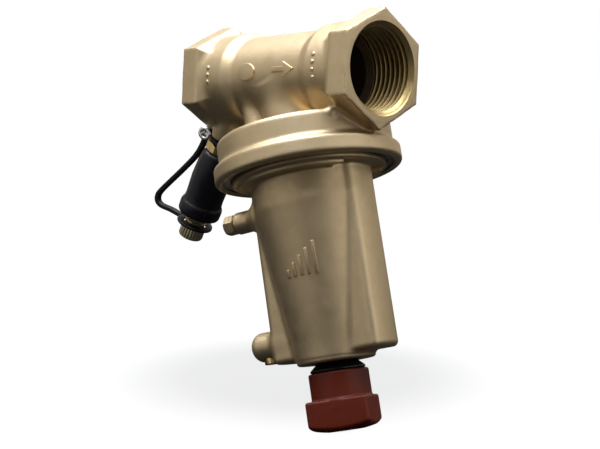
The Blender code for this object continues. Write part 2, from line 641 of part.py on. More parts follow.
def shut_off_group():
    spindle = turned("spindle", [
        (SPINDLE_R - 0.4, SPINDLE_TOP), (SPINDLE_R, SPINDLE_TOP - 0.4), (SPINDLE_R, KNOB_TOP + 0.3),
        (3.6, KNOB_TOP + 0.3), (3.6, -131.1), (2.8, -131.1), (2.8, -132.5), (3.4, -132.5), (3.4, -133.2),
        (KEY_HOLE_R, -133.2), (KEY_HOLE_R, SPINDLE_TOP),
    ], SMALL_STEPS, ring=True)
    finish(spindle, "shut_off_spindle", "machined_brass")
    collar = washer("collar", 8.1, SPINDLE_R + GAP, -110.7, KNOB_TOP + 0.3, MEDIUM_STEPS)
    finish(collar, "thrust_collar", "black_plastic")
    envelope = turned("envelope", [
        (0, KNOB_STEP), (15.2, KNOB_STEP), (16.0, KNOB_STEP - 0.7), *grip_dome(),
    ], MEDIUM_STEPS)
    grip = prism("grip", 4, GRIP_SIDE, KNOB_STEP + 2, KNOB_BOTTOM - 2, 0.9, GRIP_TURN + pi / 4)
    grip = keep_common(envelope, grip)
    barrel = turned("barrel", [
        (0, KNOB_TOP), (KNOB_R - 0.6, KNOB_TOP), (KNOB_R, KNOB_TOP - 0.6), (KNOB_R, KNOB_STEP - 3),
        (0, KNOB_STEP - 3),
    ], MEDIUM_STEPS)
    knob = join(grip, barrel)
    hole = turned("knob_hole", [
        (0, KNOB_TOP + 1), (3.9, KNOB_TOP + 1), (3.9, -131.0), (6.4, -131.0), (6.4, KNOB_BOTTOM - 2),
        (0, KNOB_BOTTOM - 2),
    ], SMALL_STEPS)
    finish(cut(knob, hole), "handwheel", "red_plastic")
    finish(washer("clip", 5.8, 3.1, -131.3, -132.2), "handwheel_clip", "spring_steel")


def grip_dome():
    """Underside of the grip, a shallow dome from the corners to the middle."""
    widest = 16.0
    points = []
    for i in range(7):
        radius = widest * (1 - i / 6)
        points.append((radius, KNOB_BOTTOM + GRIP_DOME_R - sqrt(GRIP_DOME_R ** 2 - radius ** 2)))
    return points


# ---------------------------------------------------------------- vent and capillary plug

def port_pieces():
    frame = Matrix.Translation((0, 0, VENT_Z * MM)) @ PORT_TURN
    head = prism("head", 6, 7.0, VENT_TIP, VENT_BOSS_END + 1.3, 0.4, radians(8), frame)
    shank = turned("shank", [
        (0, VENT_BOSS_END + 2), (2.3, VENT_BOSS_END + 2), (2.3, VENT_BOSS_END - 8.0),
        (0.8, VENT_BOSS_END - 9.6), (0, VENT_BOSS_END - 9.6),
    ], TINY_STEPS, frame)
    origin = PORT_AXIS * VENT_BOSS_END + Vector((0, 0, VENT_Z))
    finish(join(head, shank), "vent_screw", "cast_brass", origin)
    seal = washer("vent_washer", 3.6, 2.6, VENT_BOSS_END + 1.0, VENT_BOSS_END + 0.3, SMALL_STEPS, frame)
    finish(seal, "vent_seal", "black_rubber", origin)
    start = PORT_AXIS * CAPILLARY_R + Vector((0, 0, PORT_Z - PORT_BOSS_R))
    frame = Matrix.Translation(start * MM)
    plug = turned("plug", [(0, 3.0), (3.0, 3.0), (3.3, 2.7), (3.3, -0.9), (3.0, -1.2), (0, -1.2)],
                  SMALL_STEPS, frame)
    slot = block("slot", (-4, -0.45, -2.5), (4, 0.45, -0.3), 0, frame)
    finish(cut(plug, slot), "capillary_plug", "machined_brass")
    finish(washer("plug_washer", 3.3, 1.4, 4.0, 3.3, TINY_STEPS, frame), "capillary_seal", "black_rubber")


# ---------------------------------------------------------------- measuring nipple, cap and strap

def nipple_group():
    frame = NIPPLE_FRAME
    tube = turned("tube", [
        (2.6, 40.6), (2.6, 34.2), (1.4, 33.0), (1.4, -7.5), (2.6, -7.5), (3.3, -6.8), (3.3, 6.0), (4.6, 6.2),
        (4.6, 38.6), (5.3, 39.2), (5.3, 40.2), (4.9, 40.6),
    ], SMALL_STEPS, frame, ring=True)
    hexagon = prism("hex", 6, 12.0, 6.4, 2.4, 0.5, -STRAP_TURN, frame)
    hexagon = cut(hexagon, disc("hole", 2.4, 8, 0, SMALL_STEPS, frame))
    finish(join(tube, hexagon), "nipple_body", "machined_brass")
    sleeve = turned("sleeve", [
        (6.0, 6.8), (4.9, 6.8), (4.9, 38.2), (8.0, 38.2), (8.5, 37.6), (8.5, 33.8), (8.0, 32.6),
        (7.3, 31.8), (7.1, 29.0), (6.9, 14.0), (6.6, 8.0),
    ], SMALL_STEPS + 2, frame, ring=True)
    finish(sleeve, "nipple_sleeve", "black_plastic")
    finish(washer("packing", 2.3, 0.9, 40.3, 34.6, TINY_STEPS, frame), "nipple_packing", "black_rubber")
    origin = NIPPLE_ROOT + NIPPLE_DIRECTION * 46
    cap = turned("cap", [
        (0, 50.4), (4.3, 50.4), (5.3, 49.6), (5.3, 44.4), (4.3, 43.8), (4.3, 42.4),
        (4.65, 42.0), (4.65, 41.3), (2.9, 41.3), (2.9, 45.4), (0, 45.4),
    ], SMALL_STEPS + 2, frame)
    finish(cap, "test_cap", "pale_brass", origin)
    finish(washer("cap_ring", 2.6, 1.0, 45.1, 44.4, TINY_STEPS, frame), "cap_seal", "black_rubber", origin)
    strap()


def strap():
    """Moulded strap: a ring at the nipple's root, an eyelet tab, a curved band and a ring for the cap."""
    frame = NIPPLE_FRAME @ Matrix.Rotation(-STRAP_TURN, 4, "Z")
    route = [(9.4, 1.5), (9.2, 6.0), (10.3, 13.0), (13.8, 22.0), (18.0, 31.5), (20.6, 37.6), (21.2, 40.6),
             (20.3, 43.0), (17.8, 44.0), (13.0, 43.4), (7.4, 43.2)]
    middle = smooth_route(route, 2)
    outline = [side_point(middle, i, 1.0) for i in range(len(middle))]
    outline += [side_point(middle, i, -1.0) for i in reversed(range(len(middle)))]
    band = plate("band", outline, -1.5, 1.5, frame)
    tab_frame = frame @ Matrix.Translation((9.4 * MM, 0, 1.5 * MM)) @ Matrix.Rotation(pi / 2, 4, "X")
    tab = disc("tab", 3.0, 1.45, -1.45, SMALL_STEPS, tab_frame)
    root_ring = disc("root_ring", 6.7, 1.9, 0.5, SMALL_STEPS, frame)
    cap_ring = disc("cap_loop", 7.8, 43.9, 42.5, SMALL_STEPS, frame)
    piece = join(band, tab, root_ring, cap_ring)
    holes = [disc("hole", 3.6, 3.5, -2, SMALL_STEPS, frame), disc("hole", 5.1, 46, 41, SMALL_STEPS, frame),
             disc("hole", 1.9, 3, -3, TINY_STEPS + 2, tab_frame)]
    finish(cut(piece, *holes), "cap_strap", "black_rubber")
    eyelet = turned("eyelet", [
        (2.4, 2.2), (2.5, 1.8), (1.5, 1.8), (1.5, -1.8), (2.5, -1.8), (2.4, -2.2), (1.1, -2.2), (1.1, 2.2),
    ], TINY_STEPS + 2, tab_frame, ring=True)
    finish(eyelet, "strap_eyelet", "chrome")


def smooth_route(points, pieces):
    """Points along a smooth curve (Catmull-Rom) through the given ones."""
    ends = [points[0], *points, points[-1]]
    result = []
    for a, b, c, d in zip(ends, ends[1:], ends[2:], ends[3:]):
        a, b, c, d = Vector(a), Vector(b), Vector(c), Vector(d)
        for k in range(pieces):
            t = k / pieces
            result.append(0.5 * (2 * b + (c - a) * t + (2 * a - 5 * b + 4 * c - d) * t * t
                                 + (3 * b - a - 3 * c + d) * t ** 3))
    return [*result, Vector(points[-1])]


def side_point(points, index, offset):
    """Point beside a route, square to it in its plane."""
    before, after = points[max(index - 1, 0)], points[min(index + 1, len(points) - 1)]
    run = (after - before).normalized()
    return points[index] + Vector((-run.y, run.x)) * offset


valve_body()
bonnet()
fixed_inner_pieces()
stem_group()
setting_group()
shut_off_group()
port_pieces()
nipple_group()
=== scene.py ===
"""Differential pressure controller with shut-off: detailed visual model on the shared CAD frame.

The stem axis is +Z and the origin is where the pipe axis crosses it. Sizes are millimetres and
are scaled to metres by MM. Cast pieces come from distance fields, machined ones are turned.
"""
from math import atan2, cos, pi, radians, sin, sqrt

import bmesh
import bpy
import numpy as np
from mathutils import Matrix, Vector


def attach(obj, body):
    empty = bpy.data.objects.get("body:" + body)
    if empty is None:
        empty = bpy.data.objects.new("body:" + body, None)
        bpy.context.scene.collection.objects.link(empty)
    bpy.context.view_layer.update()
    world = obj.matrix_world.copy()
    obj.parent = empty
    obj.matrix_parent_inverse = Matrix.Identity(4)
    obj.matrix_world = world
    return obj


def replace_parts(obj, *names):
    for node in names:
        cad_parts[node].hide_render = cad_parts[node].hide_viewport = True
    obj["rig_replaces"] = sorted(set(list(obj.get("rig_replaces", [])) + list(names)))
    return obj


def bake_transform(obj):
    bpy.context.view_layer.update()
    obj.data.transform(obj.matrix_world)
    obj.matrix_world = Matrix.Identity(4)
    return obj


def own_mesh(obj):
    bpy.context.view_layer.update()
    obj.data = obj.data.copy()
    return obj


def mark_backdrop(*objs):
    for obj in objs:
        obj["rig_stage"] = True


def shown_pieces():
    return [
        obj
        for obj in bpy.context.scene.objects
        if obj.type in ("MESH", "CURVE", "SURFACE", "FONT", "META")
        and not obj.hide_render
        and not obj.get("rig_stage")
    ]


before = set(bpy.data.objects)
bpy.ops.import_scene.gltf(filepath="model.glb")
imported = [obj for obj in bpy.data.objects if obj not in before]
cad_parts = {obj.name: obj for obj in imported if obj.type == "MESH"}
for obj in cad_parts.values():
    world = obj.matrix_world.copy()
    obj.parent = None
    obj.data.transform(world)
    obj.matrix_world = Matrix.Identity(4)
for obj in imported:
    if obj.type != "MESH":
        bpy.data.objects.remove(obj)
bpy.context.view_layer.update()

bl_info = {
    "name": "Differential pressure controller",
    "version": (1, 0, 0),
    "blender": (4, 5, 0),
    "location": "View3D > Sidebar > Controller",
    "description": "Builds the visible pieces of an in-line differential pressure controller",
    "category": "Object",
}

MM = 0.001
SMOOTH_ANGLE = radians(32)
INCLINE = radians(15.6)
HALF_LENGTH = 46.5
HALF_FLATS = 19.25
COLLAR_R = 18.2
PIPE_R = 16.2
PASSAGE_R = 12.8
THREAD_MINOR_R = 15.14
THREAD_MAJOR_R = 16.62
THREAD_PITCH = 2.309
RIM_BOTTOM = -40.3
BONNET_R = 24.3
CONE_TOP = -57.9
LOBE_BOTTOM = -109.4
CONE_END_R = 14.7
BOSS_R = 14.7
BOSS_BOTTOM = -111.5
LOBE_AZIMUTH = radians(12)
LOBE_HALF_WIDTH = 8.5
PORT_AZIMUTH = radians(196)
VENT_Z = -51.6
PORT_Z = -101.5
KNOB_TOP = -115.0
KNOB_STEP = -125.0
KNOB_BOTTOM = -137.2
GRIP_TURN = radians(-58.2)
STRAP_TURN = radians(22)
NIPPLE_REACH = 0.925
CORE_R = 22.7

PIPE_FRAME = Matrix.Rotation(INCLINE, 4, "Y")
PORT_TURN = Matrix.Rotation(PORT_AZIMUTH, 4, "Z") @ Matrix.Rotation(pi / 2, 4, "Y")
NIPPLE_ROOT = Vector((-45.5, 0.0, -12.7))
NIPPLE_DIRECTION = Vector((-0.684, 0.0, -0.729)).normalized()
NIPPLE_FRAME = (Matrix.Translation(NIPPLE_ROOT * MM)
                @ Matrix.Rotation(atan2(NIPPLE_DIRECTION.x, NIPPLE_DIRECTION.z), 4, "Y")
                @ Matrix.Diagonal((1, 1, NIPPLE_REACH, 1)))
STRAP_FRAME = NIPPLE_FRAME @ Matrix.Rotation(-STRAP_TURN, 4, "Z")


def pipe_along(sign):
    """Frame whose local +Z runs out of one end of the pipe."""
    return PIPE_FRAME @ Matrix.Rotation(sign * pi / 2, 4, "Y")


# ---------------------------------------------------------------- settings

class ControllerSizes(bpy.types.PropertyGroup):
    """Sizes that change how finely the pieces are drawn."""
    body_pitch: bpy.props.FloatProperty(
        name="Body grid", description="Grid step of the body casting", default=0.6 * MM,
        min=0.4 * MM, max=2 * MM, unit="LENGTH")
    bonnet_pitch: bpy.props.FloatProperty(
        name="Bonnet grid", description="Grid step of the bonnet casting", default=0.5 * MM,
        min=0.4 * MM, max=2 * MM, unit="LENGTH")
    knob_pitch: bpy.props.FloatProperty(
        name="Handwheel grid", description="Grid step of the handwheel", default=0.3 * MM,
        min=0.2 * MM, max=1 * MM, unit="LENGTH")
    cast_fillet: bpy.props.FloatProperty(
        name="Casting fillet", description="Fillet between the pipe and the housing",
        default=3.4 * MM, min=1 * MM, max=8 * MM, unit="LENGTH")
    turn_steps: bpy.props.IntProperty(
        name="Turning steps", description="Faces around a turned piece", default=72,
        min=24, max=128)
    knurls: bpy.props.IntProperty(
        name="Knurls", description="Number of knurls around the test cap", default=26,
        min=12, max=48)


class ControllerColours(bpy.types.PropertyGroup):
    """Base colours of the finishes."""
    cast_brass: bpy.props.FloatVectorProperty(
        name="Cast brass", description="Colour of the blasted castings", subtype="COLOR",
        default=(0.61, 0.475, 0.285), min=0, max=1)
    machined_brass: bpy.props.FloatVectorProperty(
        name="Machined brass", description="Colour of the turned brass", subtype="COLOR",
        default=(0.76, 0.58, 0.25), min=0, max=1)
    pale_brass: bpy.props.FloatVectorProperty(
        name="Pale brass", description="Colour of the knurled cap", subtype="COLOR",
        default=(0.66, 0.58, 0.38), min=0, max=1)
    red_plastic: bpy.props.FloatVectorProperty(
        name="Handwheel", description="Colour of the handwheel", subtype="COLOR",
        default=(0.10, 0.009, 0.0003), min=0, max=1)
    black_plastic: bpy.props.FloatVectorProperty(
        name="Black plastic", description="Colour of the nipple sleeve", subtype="COLOR",
        default=(0.004, 0.0032, 0.0058), min=0, max=1)
    black_rubber: bpy.props.FloatVectorProperty(
        name="Black rubber", description="Colour of the strap and seals", subtype="COLOR",
        default=(0.004, 0.004, 0.0046), min=0, max=1)


class ControllerStage(bpy.types.PropertyGroup):
    """Light and floor around the piece."""
    surround: bpy.props.FloatProperty(
        name="Surround", description="Brightness of the room for lighting", default=0.17,
        min=0, max=1)
    backdrop: bpy.props.FloatProperty(
        name="Backdrop", description="Brightness of the backdrop for lighting", default=0.55, min=0,
        max=2)
    top_light: bpy.props.FloatProperty(
        name="Top softbox", description="Power of the softbox above", default=12.5, min=0,
        unit="POWER")
    side_light: bpy.props.FloatProperty(
        name="Side softboxes", description="Power of each side softbox", default=0.95,
        min=0, unit="POWER")
    # Emission level of the floor inside its painted soft shadow pool
    painted_shadow_glow: bpy.props.FloatProperty(
        name="Floor brightness", description="Brightness in the soft shadow pool",
        default=0.80, min=0, max=1)


# ---------------------------------------------------------------- distance fields

def smooth_union(a, b, width):
    near = np.maximum(width - np.abs(a - b), 0) / width
    return np.minimum(a, b) - near * near * (width / 4)


def smooth_common(a, b, width):
    return -smooth_union(-a, -b, width)


def rounded_disc(radial, height, radius, top, bottom, edge):
    """Distance to an upright disc with rounded edges."""
    across = radial - (radius - edge)
    along = np.abs(height - (top + bottom) / 2) - ((top - bottom) / 2 - edge)
    outside = np.hypot(np.maximum(across, 0), np.maximum(along, 0))
    return np.minimum(np.maximum(across, along), 0) + outside - edge


def ease(value):
    value = np.clip(value, 0, 1)
    return value * value * (3 - 2 * value)


def axis_distance(x, y, z, start, direction):
    """Distance along an axis from its start, and distance from the axis."""
    dx, dy, dz = x - start[0], y - start[1], z - start[2]
    along = dx * direction[0] + dy * direction[1] + dz * direction[2]
    square = dx * dx + dy * dy + dz * dz - along * along
    return along, np.sqrt(np.maximum(square, 1e-6))


def net_corners(values, low, pitch):
    """Vertices of a surface net, and the vertex number of each grid cell."""
    inside = values < 0
    cells = tuple(n - 1 for n in values.shape)
    count = np.zeros(cells, np.int8)
    for i in (0, 1):
        for j in (0, 1):
            for k in (0, 1):
                count += inside[i:i + cells[0], j:j + cells[1], k:k + cells[2]]
    place = np.array(np.nonzero((count > 0) & (count < 8)))
    number = np.full(cells, -1, np.int64)
    number[tuple(place)] = np.arange(place.shape[1])
    total = np.zeros(place.shape)
    crossings = np.zeros(place.shape[1])
    for axis in range(3):
        for a in (0, 1):
            for b in (0, 1):
                start = place.copy()
                start[(axis + 1) % 3] += a
                start[(axis + 2) % 3] += b
                end = start.copy()
                end[axis] += 1
                near, far = values[tuple(start)], values[tuple(end)]
                cross = (near < 0) != (far < 0)
                point = start.astype(float)
                point[axis, cross] += near[cross] / (near[cross] - far[cross])
                total[:, cross] += point[:, cross]
                crossings[cross] += 1
    return np.array(low)[:, None] + pitch * total / crossings, number


def net_faces(values, number):
    """One quad around each grid edge that the surface crosses."""
    inside = values < 0
    faces = []
    for axis in range(3):
        one, two = (axis + 1) % 3, (axis + 2) % 3
        near = [slice(1, -1)] * 3
        far = [slice(1, -1)] * 3
        near[axis], far[axis] = slice(0, -1), slice(1, None)
        near, far = inside[tuple(near)], inside[tuple(far)]
        place = np.array(np.nonzero(near != far))
        outward = near[tuple(place)]
        place[one] += 1
        place[two] += 1
        step_one, step_two = np.zeros((3, 1), int), np.zeros((3, 1), int)
        step_one[one], step_two[two] = 1, 1
        around = (place - step_one - step_two, place - step_two, place, place - step_one)
        quad = np.stack([number[tuple(cell)] for cell in around], axis=1)
        quad[~outward] = quad[~outward][:, ::-1]
        faces.append(quad)
    return np.concatenate(faces)


def cast(name, distance, low, high, pitch):
    """A closed mesh where the distance field is zero, its vertices drawn onto the surface."""
    axes = [np.arange(a, b + pitch, pitch, dtype=np.float32) for a, b in zip(low, high)]
    values = distance(*np.meshgrid(*axes, indexing="ij", sparse=True))
    points, number = net_corners(values, low, pitch)
    faces = net_faces(values, number)
    reach = 0.12
    for _ in range(2):
        here = distance(*points)
        slope = np.array([
            distance(*(points + step[:, None])) - distance(*(points - step[:, None]))
            for step in np.eye(3) * reach]) / (2 * reach)
        size = np.maximum((slope ** 2).sum(axis=0), 0.2)
        points = points - np.clip(here / size, -pitch / 2, pitch / 2) * slope
    return mesh_object(name, points.T * MM, faces)


# ---------------------------------------------------------------- meshes

def mesh_object(name, points, faces, matrix=Matrix()):
    mesh = bpy.data.meshes.new(name)
    mesh.from_pydata(np.asarray(points).tolist(), [], np.asarray(faces).tolist()
                     if isinstance(faces, np.ndarray) else faces)
    mesh.update()
    item = bpy.data.objects.new(name, mesh)
    bpy.context.scene.collection.objects.link(item)
    item.matrix_world = matrix
    return item


def tidy_normals(item):
    shape = bmesh.new()
    shape.from_mesh(item.data)
    bmesh.ops.remove_doubles(shape, verts=shape.verts, dist=2e-7)
    bmesh.ops.recalc_face_normals(shape, faces=shape.faces)
    shape.to_mesh(item.data)
    shape.free()
    return item


def softened(profile, edge, ring=False):
    """A (radius, height) profile with its corners rounded by short curves."""
    count = len(profile)
    result = []
    for i, (r, z) in enumerate(profile):
        here = Vector((r, z))
        if not ring and i in (0, count - 1):
            result.append((r, z))
            continue
        before = Vector(profile[i - 1]) - here
        after = Vector(profile[(i + 1) % count]) - here
        bend = pi - before.angle(after, pi)
        reach = min(edge, 0.42 * before.length, 0.42 * after.length)
        if bend < radians(14) or reach < 0.01:
            result.append((r, z))
            continue
        start, end = here + before.normalized() * reach, here + after.normalized() * reach
        for k in range(4):
            t = k / 3
            point = (1 - t) ** 2 * start + 2 * t * (1 - t) * here + t * t * end
            result.append((point.x, point.y))
    return result


def turned(name, profile, edge=0.15, matrix=Matrix(), ring=False, steps=None, knurl=None):
    """A solid turned about local Z from (radius, height) points, outer side from top to bottom."""
    steps = steps or bpy.context.scene.controller_sizes.turn_steps
    profile = softened(profile, edge, ring) if edge else profile
    angles = np.arange(steps) * (2 * pi / steps)
    points, rows, faces = [], [], []
    for r, z in profile:
        rows.append(len(points))
        if r < 1e-6:
            points.append((0, 0, z * MM))
            continue
        radius = np.full(steps, float(r))
        if knurl and knurl[2] < z < knurl[3]:
            radius -= knurl[1] * (0.5 - 0.5 * np.cos(knurl[0] * angles)) ** 0.7
        points.extend(np.stack([radius * np.cos(angles), radius * np.sin(angles),
                                np.full(steps, z)], axis=1) * MM)
    pairs = [(i, i + 1) for i in range(len(profile) - 1)]
    if ring:
        pairs.append((len(profile) - 1, 0))
    for a, b in pairs:
        pole_a, pole_b = profile[a][0] < 1e-6, profile[b][0] < 1e-6
        for s in range(steps):
            n = (s + 1) % steps
            if pole_a and not pole_b:
                faces.append((rows[a], rows[b] + s, rows[b] + n))
            elif pole_b and not pole_a:
                faces.append((rows[a] + s, rows[b], rows[a] + n))
            elif not pole_a:
                faces.append((rows[a] + s, rows[b] + s, rows[b] + n, rows[a] + n))
    return tidy_normals(mesh_object(name, [tuple(p) for p in points], faces, matrix))


def plain_ring(outer, inner, top, bottom, edge=0.15, matrix=Matrix(), steps=None):
    profile = [(outer, top), (outer, bottom), (inner, bottom), (inner, top)]
    return turned("ring", profile, edge, matrix, True, steps)


def plain_disc(radius, top, bottom, edge=0.0, matrix=Matrix(), steps=None):
    profile = [(0, top), (radius, top), (radius, bottom), (0, bottom)]
    return turned("disc", profile, edge, matrix, False, steps)


def prism(name, sides, across_flats, top, bottom, edge=0.0, turn=0.0, matrix=Matrix()):
    radius = across_flats / 2 / cos(pi / sides)
    shape = bmesh.new()
    middle = Matrix.Translation((0, 0, (top + bottom) / 2 * MM)) @ Matrix.Rotation(turn, 4, "Z")
    bmesh.ops.create_cone(shape, cap_ends=True, segments=sides, radius1=radius * MM,
                          radius2=radius * MM, depth=abs(top - bottom) * MM, matrix=middle)
    if edge:
        bmesh.ops.bevel(shape, geom=list(shape.edges), offset=edge * MM, segments=3, profile=0.5,
                        affect="EDGES")
    return from_shape(name, shape, matrix)


def from_shape(name, shape, matrix=Matrix()):
    mesh = bpy.data.meshes.new(name)
    shape.to_mesh(mesh)
    shape.free()
    item = bpy.data.objects.new(name, mesh)
    bpy.context.scene.collection.objects.link(item)
    item.matrix_world = matrix
    return item


def block(name, low, high, edge=0.0, matrix=Matrix()):
    low, high = Vector(low) * MM, Vector(high) * MM
    shape = bmesh.new()
    fit = Matrix.Translation((low + high) / 2) @ Matrix.Diagonal((*(high - low), 1))
    bmesh.ops.create_cube(shape, size=1.0, matrix=fit)
    if edge:
        bmesh.ops.bevel(shape, geom=list(shape.edges), offset=edge * MM, segments=3, profile=0.5,
                        affect="EDGES")
    return from_shape(name, shape, matrix)


def plate(name, outline, low_y, high_y, edge=0.0, matrix=Matrix()):
    """A flat outline of (x, z) points in the XZ plane, given its thickness along Y."""
    shape = bmesh.new()
    corners = [shape.verts.new((x * MM, low_y * MM, z * MM)) for x, z in outline]
    face = shape.faces.new(corners)
    pushed = bmesh.ops.extrude_face_region(shape, geom=[face])["geom"]
    bmesh.ops.translate(shape, verts=[g for g in pushed if isinstance(g, bmesh.types.BMVert)],
                        vec=(0, (high_y - low_y) * MM, 0))
    bmesh.ops.recalc_face_normals(shape, faces=shape.faces)
    if edge:
        front = [e for e in shape.edges if all(abs(v.co.y - low_y * MM) < 1e-7 for v in e.verts)]
        bmesh.ops.bevel(shape, geom=front, offset=edge * MM, segments=3, profile=0.5,
                        affect="EDGES")
    return from_shape(name, shape, matrix)


def combine(item, others, operation):
    """Apply one exact Boolean after another, then drop the working solids."""
    for other in others:
        step = item.modifiers.new("boolean", "BOOLEAN")
        step.operation = operation
        step.solver = "EXACT"
        step.object = other
        step.material_mode = "TRANSFER"
        bpy.context.view_layer.update()
        graph = bpy.context.evaluated_depsgraph_get()
        mesh = bpy.data.meshes.new_from_object(item.evaluated_get(graph))
        item.modifiers.clear()
        item.data = mesh
    for other in others:
        bpy.data.objects.remove(other, do_unlink=True)
    if not item.data.polygons:
        raise RuntimeError("the Boolean left nothing of " + item.name)
    return item


def join(item, *others):
    return combine(item, others, "UNION")


def cut(item, *others):
    return combine(item, others, "DIFFERENCE")


def keep_common(item, *others):
    return combine(item, others, "INTERSECT")


def finish_piece(item, name, finish, body, node, angle=SMOOTH_ANGLE):
    """Name a piece, give it its finish, and let it stand for its CAD node on that body."""
    item.name = name
    item.data.name = name
    if len(item.data.materials) < 2:
        item.data.materials.clear()
        item.data.materials.append(finish_of(finish))
    item.data.shade_smooth()
    item.data.set_sharp_from_angle(angle=angle)
    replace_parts(item, node)
    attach(item, body)
    return item


# ---------------------------------------------------------------- finishes

def noise_node(group, scale, detail, roughness, stretch):
    """Noise over the object's own coordinates, stretched where the skin has a grain."""
    coordinate = group.nodes.new("ShaderNodeTexCoord")
    point = coordinate.outputs["Object"]
    if stretch:
        mapping = group.nodes.new("ShaderNodeMapping")
        mapping.inputs["Scale"].default_value = stretch
        group.links.new(point, mapping.inputs["Vector"])
        point = mapping.outputs["Vector"]
    noise = group.nodes.new("ShaderNodeTexNoise")
    noise.inputs["Scale"].default_value = scale
    noise.inputs["Detail"].default_value = detail
    noise.inputs["Roughness"].default_value = roughness
    group.links.new(point, noise.inputs["Vector"])
    return noise.outputs["Fac"]


def spread(group, value, low, high, to_low, to_high):
    ranged = group.nodes.new("ShaderNodeMapRange")
    ranged.interpolation_type = "SMOOTHSTEP"
    for label, number in (("From Min", low), ("From Max", high)):
        ranged.inputs[label].default_value = number
    for label, number in (("To Min", to_low), ("To Max", to_high)):
        if isinstance(number, bpy.types.NodeSocket):
            group.links.new(number, ranged.inputs[label])
        else:
            ranged.inputs[label].default_value = number
    group.links.new(value, ranged.inputs["Value"])
    return ranged.outputs["Result"]


def math_node(group, operation, a, b):
    node = group.nodes.new("ShaderNodeMath")
    node.operation = operation
    for socket, value in zip(node.inputs, (a, b)):
        if isinstance(value, bpy.types.NodeSocket):
            group.links.new(value, socket)
        else:
            socket.default_value = value
    return node.outputs[0]


def mix_colour(group, factor, a, b):
    node = group.nodes.new("ShaderNodeMix")
    node.data_type = "RGBA"
    group.links.new(factor, node.inputs["Factor"])
    sockets = [socket for socket in node.inputs if socket.type == "RGBA"]
    for socket, value in zip(sockets, (a, b)):
        group.links.new(value, socket)
    return [socket for socket in node.outputs if socket.type == "RGBA"][0]


# noise: (scale, detail, roughness, stretch); tints: (noise, from, to, most); relief: (noise, share)
SKINS = {
    # Blasted casting: fine grain, soft blotches and a few darker stains
    "cast_grain": {
        "noises": ((2600, 2, 0.6, None), (160, 4, 0.6, None), (45, 5, 0.62, None)),
        "tints": ((2, 0.54, 0.74, 0.42), (1, 0.35, 0.65, 0.16)), "wear": 1,
        "relief": ((0, 0.7), (1, 0.9))},
    # Machined: fine rings around the piece's own axis and light handling marks
    "turning_marks": {
        "noises": ((1, 2, 0.7, (90, 90, 5200)), (260, 5, 0.65, None)),
        "tints": ((1, 0.45, 0.75, 0.5),), "wear": 1, "relief": ((0, 1),)},
    # Moulded plastic or rubber: fine texture, dust and soft changes of sheen
    "moulded_skin": {
        "noises": ((1900, 3, 0.6, None), (140, 6, 0.7, None)),
        "tints": ((1, 0.5, 0.8, 0.5),), "wear": 1, "relief": ((0, 1),)},
}


def skin_group(name):
    """The shader node group of a skin: its colour with tints, roughness with wear, and relief."""
    skin = SKINS[name]
    group = bpy.data.node_groups.new(name, "ShaderNodeTree")
    for label, kind, value in (("Color", "Color", (0.6, 0.5, 0.3, 1)),
                               ("Tint", "Color", (0.3, 0.2, 0.1, 1)),
                               ("Low Roughness", "Float", 0.3), ("High Roughness", "Float", 0.4)):
        socket = group.interface.new_socket(label, in_out="INPUT", socket_type="NodeSocket" + kind)
        socket.default_value = value
    for label, kind in (("Color", "Color"), ("Roughness", "Float"), ("Height", "Float")):
        group.interface.new_socket(label, in_out="OUTPUT", socket_type="NodeSocket" + kind)
    start, end = group.nodes.new("NodeGroupInput"), group.nodes.new("NodeGroupOutput")
    noises = [noise_node(group, *values) for values in skin["noises"]]
    colour = start.outputs["Color"]
    for number, low, high, most in skin["tints"]:
        amount = spread(group, noises[number], low, high, 0.0, most)
        colour = mix_colour(group, amount, colour, start.outputs["Tint"])
    rough = spread(group, noises[skin["wear"]], 0.3, 0.7, start.outputs["Low Roughness"],
                   start.outputs["High Roughness"])
    height = None
    for number, share in skin["relief"]:
        part = noises[number] if share == 1 else math_node(group, "MULTIPLY", noises[number], share)
        height = part if height is None else math_node(group, "ADD", height, part)
    for label, value in (("Color", colour), ("Roughness", rough), ("Height", height)):
        group.links.new(value, end.inputs[label])
    return group


# skin, colour or its setting, tint, roughness range, metallic, bump strength, bump depth
FINISHES = {
    "cast_brass": ("cast_grain", "cast_brass", (0.36, 0.27, 0.15), (0.42, 0.52), 1, 0.5, 0.14),
    "faced_brass": ("turning_marks", (0.52, 0.385, 0.17), (0.33, 0.23, 0.09), (0.34, 0.46),
                    1, 0.25, 0.03),
    # Painted shade: near-black brass for the pipe passage and its partition wall, standing in for the
    # shade inside the bore
    "painted_shade_passage": ("cast_grain", (0.075, 0.055, 0.03), (0.03, 0.022, 0.012), (0.5, 0.62),
                     0.6, 0.4, 0.15),
    "machined_brass": ("turning_marks", "machined_brass", (0.50, 0.35, 0.12), (0.14, 0.26),
                       1, 0.2, 0.02),
    "pale_brass": ("turning_marks", "pale_brass", (0.40, 0.32, 0.17), (0.24, 0.38), 1, 0.2, 0.03),
    "stainless_steel": ("turning_marks", (0.62, 0.61, 0.58), (0.45, 0.44, 0.42), (0.2, 0.3),
                        1, 0.2, 0.02),
    "spring_steel": ("turning_marks", (0.20, 0.18, 0.15), (0.10, 0.09, 0.08), (0.3, 0.42),
                     1, 0.2, 0.02),
    "chrome": ("turning_marks", (0.82, 0.82, 0.83), (0.62, 0.62, 0.63), (0.06, 0.14), 1, 0.1, 0.01),
    "black_rubber": ("moulded_skin", "black_rubber", (0.016, 0.016, 0.017), (0.42, 0.56),
                     0, 0.15, 0.03),
    "black_plastic": ("moulded_skin", "black_plastic", (0.014, 0.012, 0.017), (0.30, 0.42),
                      0, 0.12, 0.03),
    "red_plastic": ("moulded_skin", "red_plastic", (0.135, 0.019, 0.003), (0.38, 0.5),
                    0, 0.15, 0.03),
}


